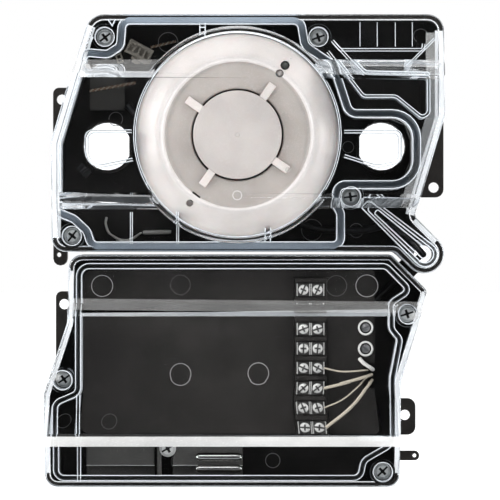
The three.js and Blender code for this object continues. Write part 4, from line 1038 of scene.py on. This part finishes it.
# Leads: tinned wire in cream and white sleeves, from the terminals' right column and the lower post into the
# slot at the shroud's right edge. The reed switch and the relays take the white sleeve's finish.
cream = finish("cream_sleeve", (0.50, 0.44, 0.35), (0.66, 0.60, 0.50), 0.42, 1600, 0.4, 0.1, 0.05)
white_sleeve = finish("white_sleeve", (0.72, 0.70, 0.66), (0.86, 0.85, 0.82), 0.4, 1600, 0.4, 0.1, 0.05)


def sleeve(name, points, radius, material, body, *nodes, slot):
    run = bpy.data.curves.new(name, "CURVE")
    run.dimensions = "3D"
    run.bevel_depth = radius / 1000
    run.bevel_resolution = 4
    run.resolution_u = 10
    run.use_fill_caps = True
    spline = run.splines.new("BEZIER")
    spline.bezier_points.add(len(points) - 1)
    for knot, (x, y, level) in zip(spline.bezier_points, points):
        knot.co = STAND @ Vector((x, y, level))
        knot.handle_left_type = knot.handle_right_type = "AUTO"
    run.materials.append(material)
    part = bpy.data.objects.new(name, run)
    bpy.context.scene.collection.objects.link(part)
    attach(part, body)
    if nodes:
        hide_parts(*nodes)
    return part


lead_level = edges("terminal_block")[5] - 1.4
rows = [sum(edges(f"terminal_screw_{row}")[2:4]) / 2 for row in range(9, 17)]
start = edges("terminal_screw_9")[1] + 0.4
slot_x, slot_y = SHROUD_RIGHT - 3, power_top - 59.5
for number, row, radius, (back, up, out), (across, rise) in (
    (1, 4, 0.4, (14, -1.6, 1), (-2, 3)), (2, 5, 0.75, (12, 2.4, 2), (0, 0.4)),
    (3, 6, 0.35, (12, 4.6, 2.6), (-2.2, -1.6)), (4, 7, 0.75, (8, 11, 2.6), (0.6, -3)),
):
    points = [
        (start, rows[row], lead_level), (slot_x - back, rows[row] + up, lead_level + out),
        (slot_x + across, slot_y + rise, lead_level), (slot_x + across, slot_y + rise, SHROUD_FRONT - 8),
    ]
    name, node = f"terminal_lead_{number}", f"lead_{number}"
    sleeve(name, points, radius, cream, "power_module", node, slot="cream_wire")
post_x, post_y = SHROUD_RIGHT - 4.6, power_top - 46
points = [
    (post_x - 3, post_y - 4.8, SHROUD_FRONT + 1.4), (post_x - 1, post_y - 7, SHROUD_FRONT + 3),
    (post_x + 2.6, post_y - 9.4, SHROUD_FRONT + 2), (post_x + 3, slot_y + 3.6, SHROUD_FRONT - 8),
]
sleeve("post_lead_sleeve", points, 0.95, white_sleeve, "power_module", "post_lead", slot="white_nylon")
refinish(white_sleeve, "reed_switch", "relay_1", "relay_2")


# Link cable: a round black cable from the sensor board under the head and through the hollow hinge to the
# power board, in two lengths whose plugs meet on the hinge axis; and the reed switch's thin white lead.
hinge_x, hinge_y = HINGE
sleeve("link_cable_upper", [
    (-54.8, 16, 5), (-30, -12, 5), (0, -30, 5), (38.3, -44.9, 5), (50.3, -45.9, 5), (62.3, -45.9, 5),
    (72.2, -43.8, 9), (76.2, -43.8, 23), (81.2, -47.8, 28.5), (hinge_x - 4, hinge_y + 4, 28.3),
    (hinge_x - 0.3, hinge_y + 0.3, 24), (hinge_x, hinge_y, 16), (hinge_x, hinge_y, 11.5),
], 1.6, clip_black, "sensor_module", "link_cable_sensor", slot="dark_rubber")
sleeve("link_cable_lower", [
    (hinge_x, hinge_y, 10.4), (hinge_x, hinge_y, 8.4), (hinge_x - 1.2, hinge_y - 1.2, 5.9),
    (hinge_x - 5, hinge_y - 5, 5), (79.2, -69.8, 5), (72.2, -76.8, 5), (65.8, -81.8, 5), (61.2, -82.8, 5),
], 1.6, clip_black, "power_module", "link_cable_power", slot="dark_rubber")
sleeve("reed_switch_lead", [
    (-47.6, -46.2, 5.6), (-52, -49.6, 5.6), (-57, -50.4, 5.6), (-62.6, -47.4, 5.6), (-65.4, -41.8, 5.6),
    (-65, -38.2, 5.6),
], 0.6, white_sleeve, "sensor_module", "reed_lead", slot="white_nylon")


# Transformer bracket: bent zinc-plated steel below the shroud, in two lengths on either side of its screw,
# with the transformer's two varnished winding ends bulging over the right one.
steel = finish(
    "bracket_steel", (0.10, 0.097, 0.092), (0.26, 0.25, 0.24), 0.42, 1700, 0.45, 0.25, 0.12, Metallic=0.4,
)
bracket_top, bracket_step, bracket_foot = (SHROUD_BOTTOM - drop for drop in (6.3, 15.5, 21.4))
lengths, step_highlights = [], []
for left, right in ((SHROUD_LEFT + 1.2, SHROUD_LEFT + 34.6), (SHROUD_LEFT + 43.6, SHROUD_LEFT + 78)):
    lengths.append(eased(box(left, right, bracket_step, bracket_top, 20, 22.4), 0.5, 40))
    lengths.append(eased(box(left, right, bracket_foot, bracket_step - 0.7, 16, 18.2), 0.5, 40))
    # A thin nickel strip at each step is a painted highlight along the bend.
    step_highlights.append(eased(box(left, right, bracket_step - 0.5, bracket_step - 0.1, 18.4, 23), 0.12, 40))
post = eased(box(SHROUD_LEFT + 36, SHROUD_LEFT + 38, bracket_foot, bracket_top, 14, 24), 0.4, 40)
piece("transformer_bracket", together(*lengths, post), steel, "power_module", slot="steel")
piece("bracket_step_highlight", together(*step_highlights), nickel, "power_module", slot="steel")
bracket_screw = placed(cover_screw((0, 0), 30), (SHROUD_LEFT + 41.2, bracket_top - 1.2, -13))
part = piece("bracket_screw", bracket_screw, zinc, "power_module", slot="zinc_screws")
part.data.materials.append(recess_shade)
varnish = finish(
    "winding_varnish", (0.55, 0.54, 0.52), (0.75, 0.74, 0.72), 0.14, 900, 0.4, 0.05, 0.02, Metallic=1.0,
)
bulges = []
length = 11.6
for height, radius in ((bracket_top - 5.4, 2.2), (bracket_foot + 4.0, 1.9)):
    bulge = spun([
        (0, length), (radius * 0.55, length - 0.35), (radius * 0.9, length - 1.3), (radius, length - 2.6),
        (radius, 2.6 - length), (radius * 0.9, 1.3 - length), (radius * 0.55, 0.35 - length), (0, -length),
    ], 32)
    bulges.append(placed(bulge, (SHROUD_LEFT + 66.4, height, 24.5), 90, "Y"))
piece("winding_ends", together(*bulges), varnish, "power_module", slot="black_moulding")


# Board plug: a cream nylon plug in the corner of the sensor tray, with its contacts showing and the thin
# twisted wires that run from it to the board and round the head.
plug_cream = finish("plug_cream", (0.34, 0.31, 0.26), (0.50, 0.47, 0.42), 0.4, 2000, 0.4, 0.15, 0.08)
PLUG, PLUG_TURN = (-48.5, 41.5), -28
GUIDE, GUIDE_TURN = (-58.5, 38.7), 20
housing = eased(box(-6.5, 6.5, -3.6, 3.6, 12, 17, PLUG_TURN, PLUG), 0.4, 40)
for across in (-4.2, -1.4, 1.4, 4.2):
    contact = box(across - 0.95, across + 0.95, -1.8, 2.2, 14, 18, PLUG_TURN, PLUG)
    housing = carved(housing, ("DIFFERENCE", contact))
latch = eased(box(-2, 2, -5.2, -3.7, 12, 15.5, PLUG_TURN, PLUG), 0.3, 40)
bore = box(-0.9, 0.9, -0.9, 0.9, 11, 17, GUIDE_TURN, GUIDE)
guide = carved(box(-1.6, 1.6, -1.6, 1.6, 12, 16, GUIDE_TURN, GUIDE), ("DIFFERENCE", bore))
piece("board_plug", together(housing, latch, guide), plug_cream, "sensor_module", slot="white_nylon")
copper_orange = finish("orange_sleeve", (0.28, 0.15, 0.09), (0.45, 0.30, 0.22), 0.4, 1600, 0.4, 0.1, 0.05)


def twisted(name, start, end, radius, turns, phase, material):
    """One of a pair of thin wires twisted round each other from one point to another."""
    start, end = Vector(start), Vector(end)
    run = end - start
    across = run.cross(Vector((0, 0, 1))).normalized()
    lift = across.cross(run).normalized()
    steps = turns * 6
    points = [
        start + run * k / steps + (across * cos(phase + pi * k / 3) + lift * sin(phase + pi * k / 3)) * radius
        for k in range(steps + 1)
    ]
    sleeve(name, points, radius * 0.8, material, "sensor_module", slot="cream_wire")


for where, start, end, turns in (
    ("plug", (-42.6, 43.4, 15), (-30.5, 46.4, 12), 5), ("board", (-73, 22.5, 11), (-50.5, 26.4, 13), 8),
):
    twisted(f"{where}_wire_cream", start, end, 0.4, turns, 0, cream)
    twisted(f"{where}_wire_orange", start, end, 0.4, turns, pi, copper_orange)
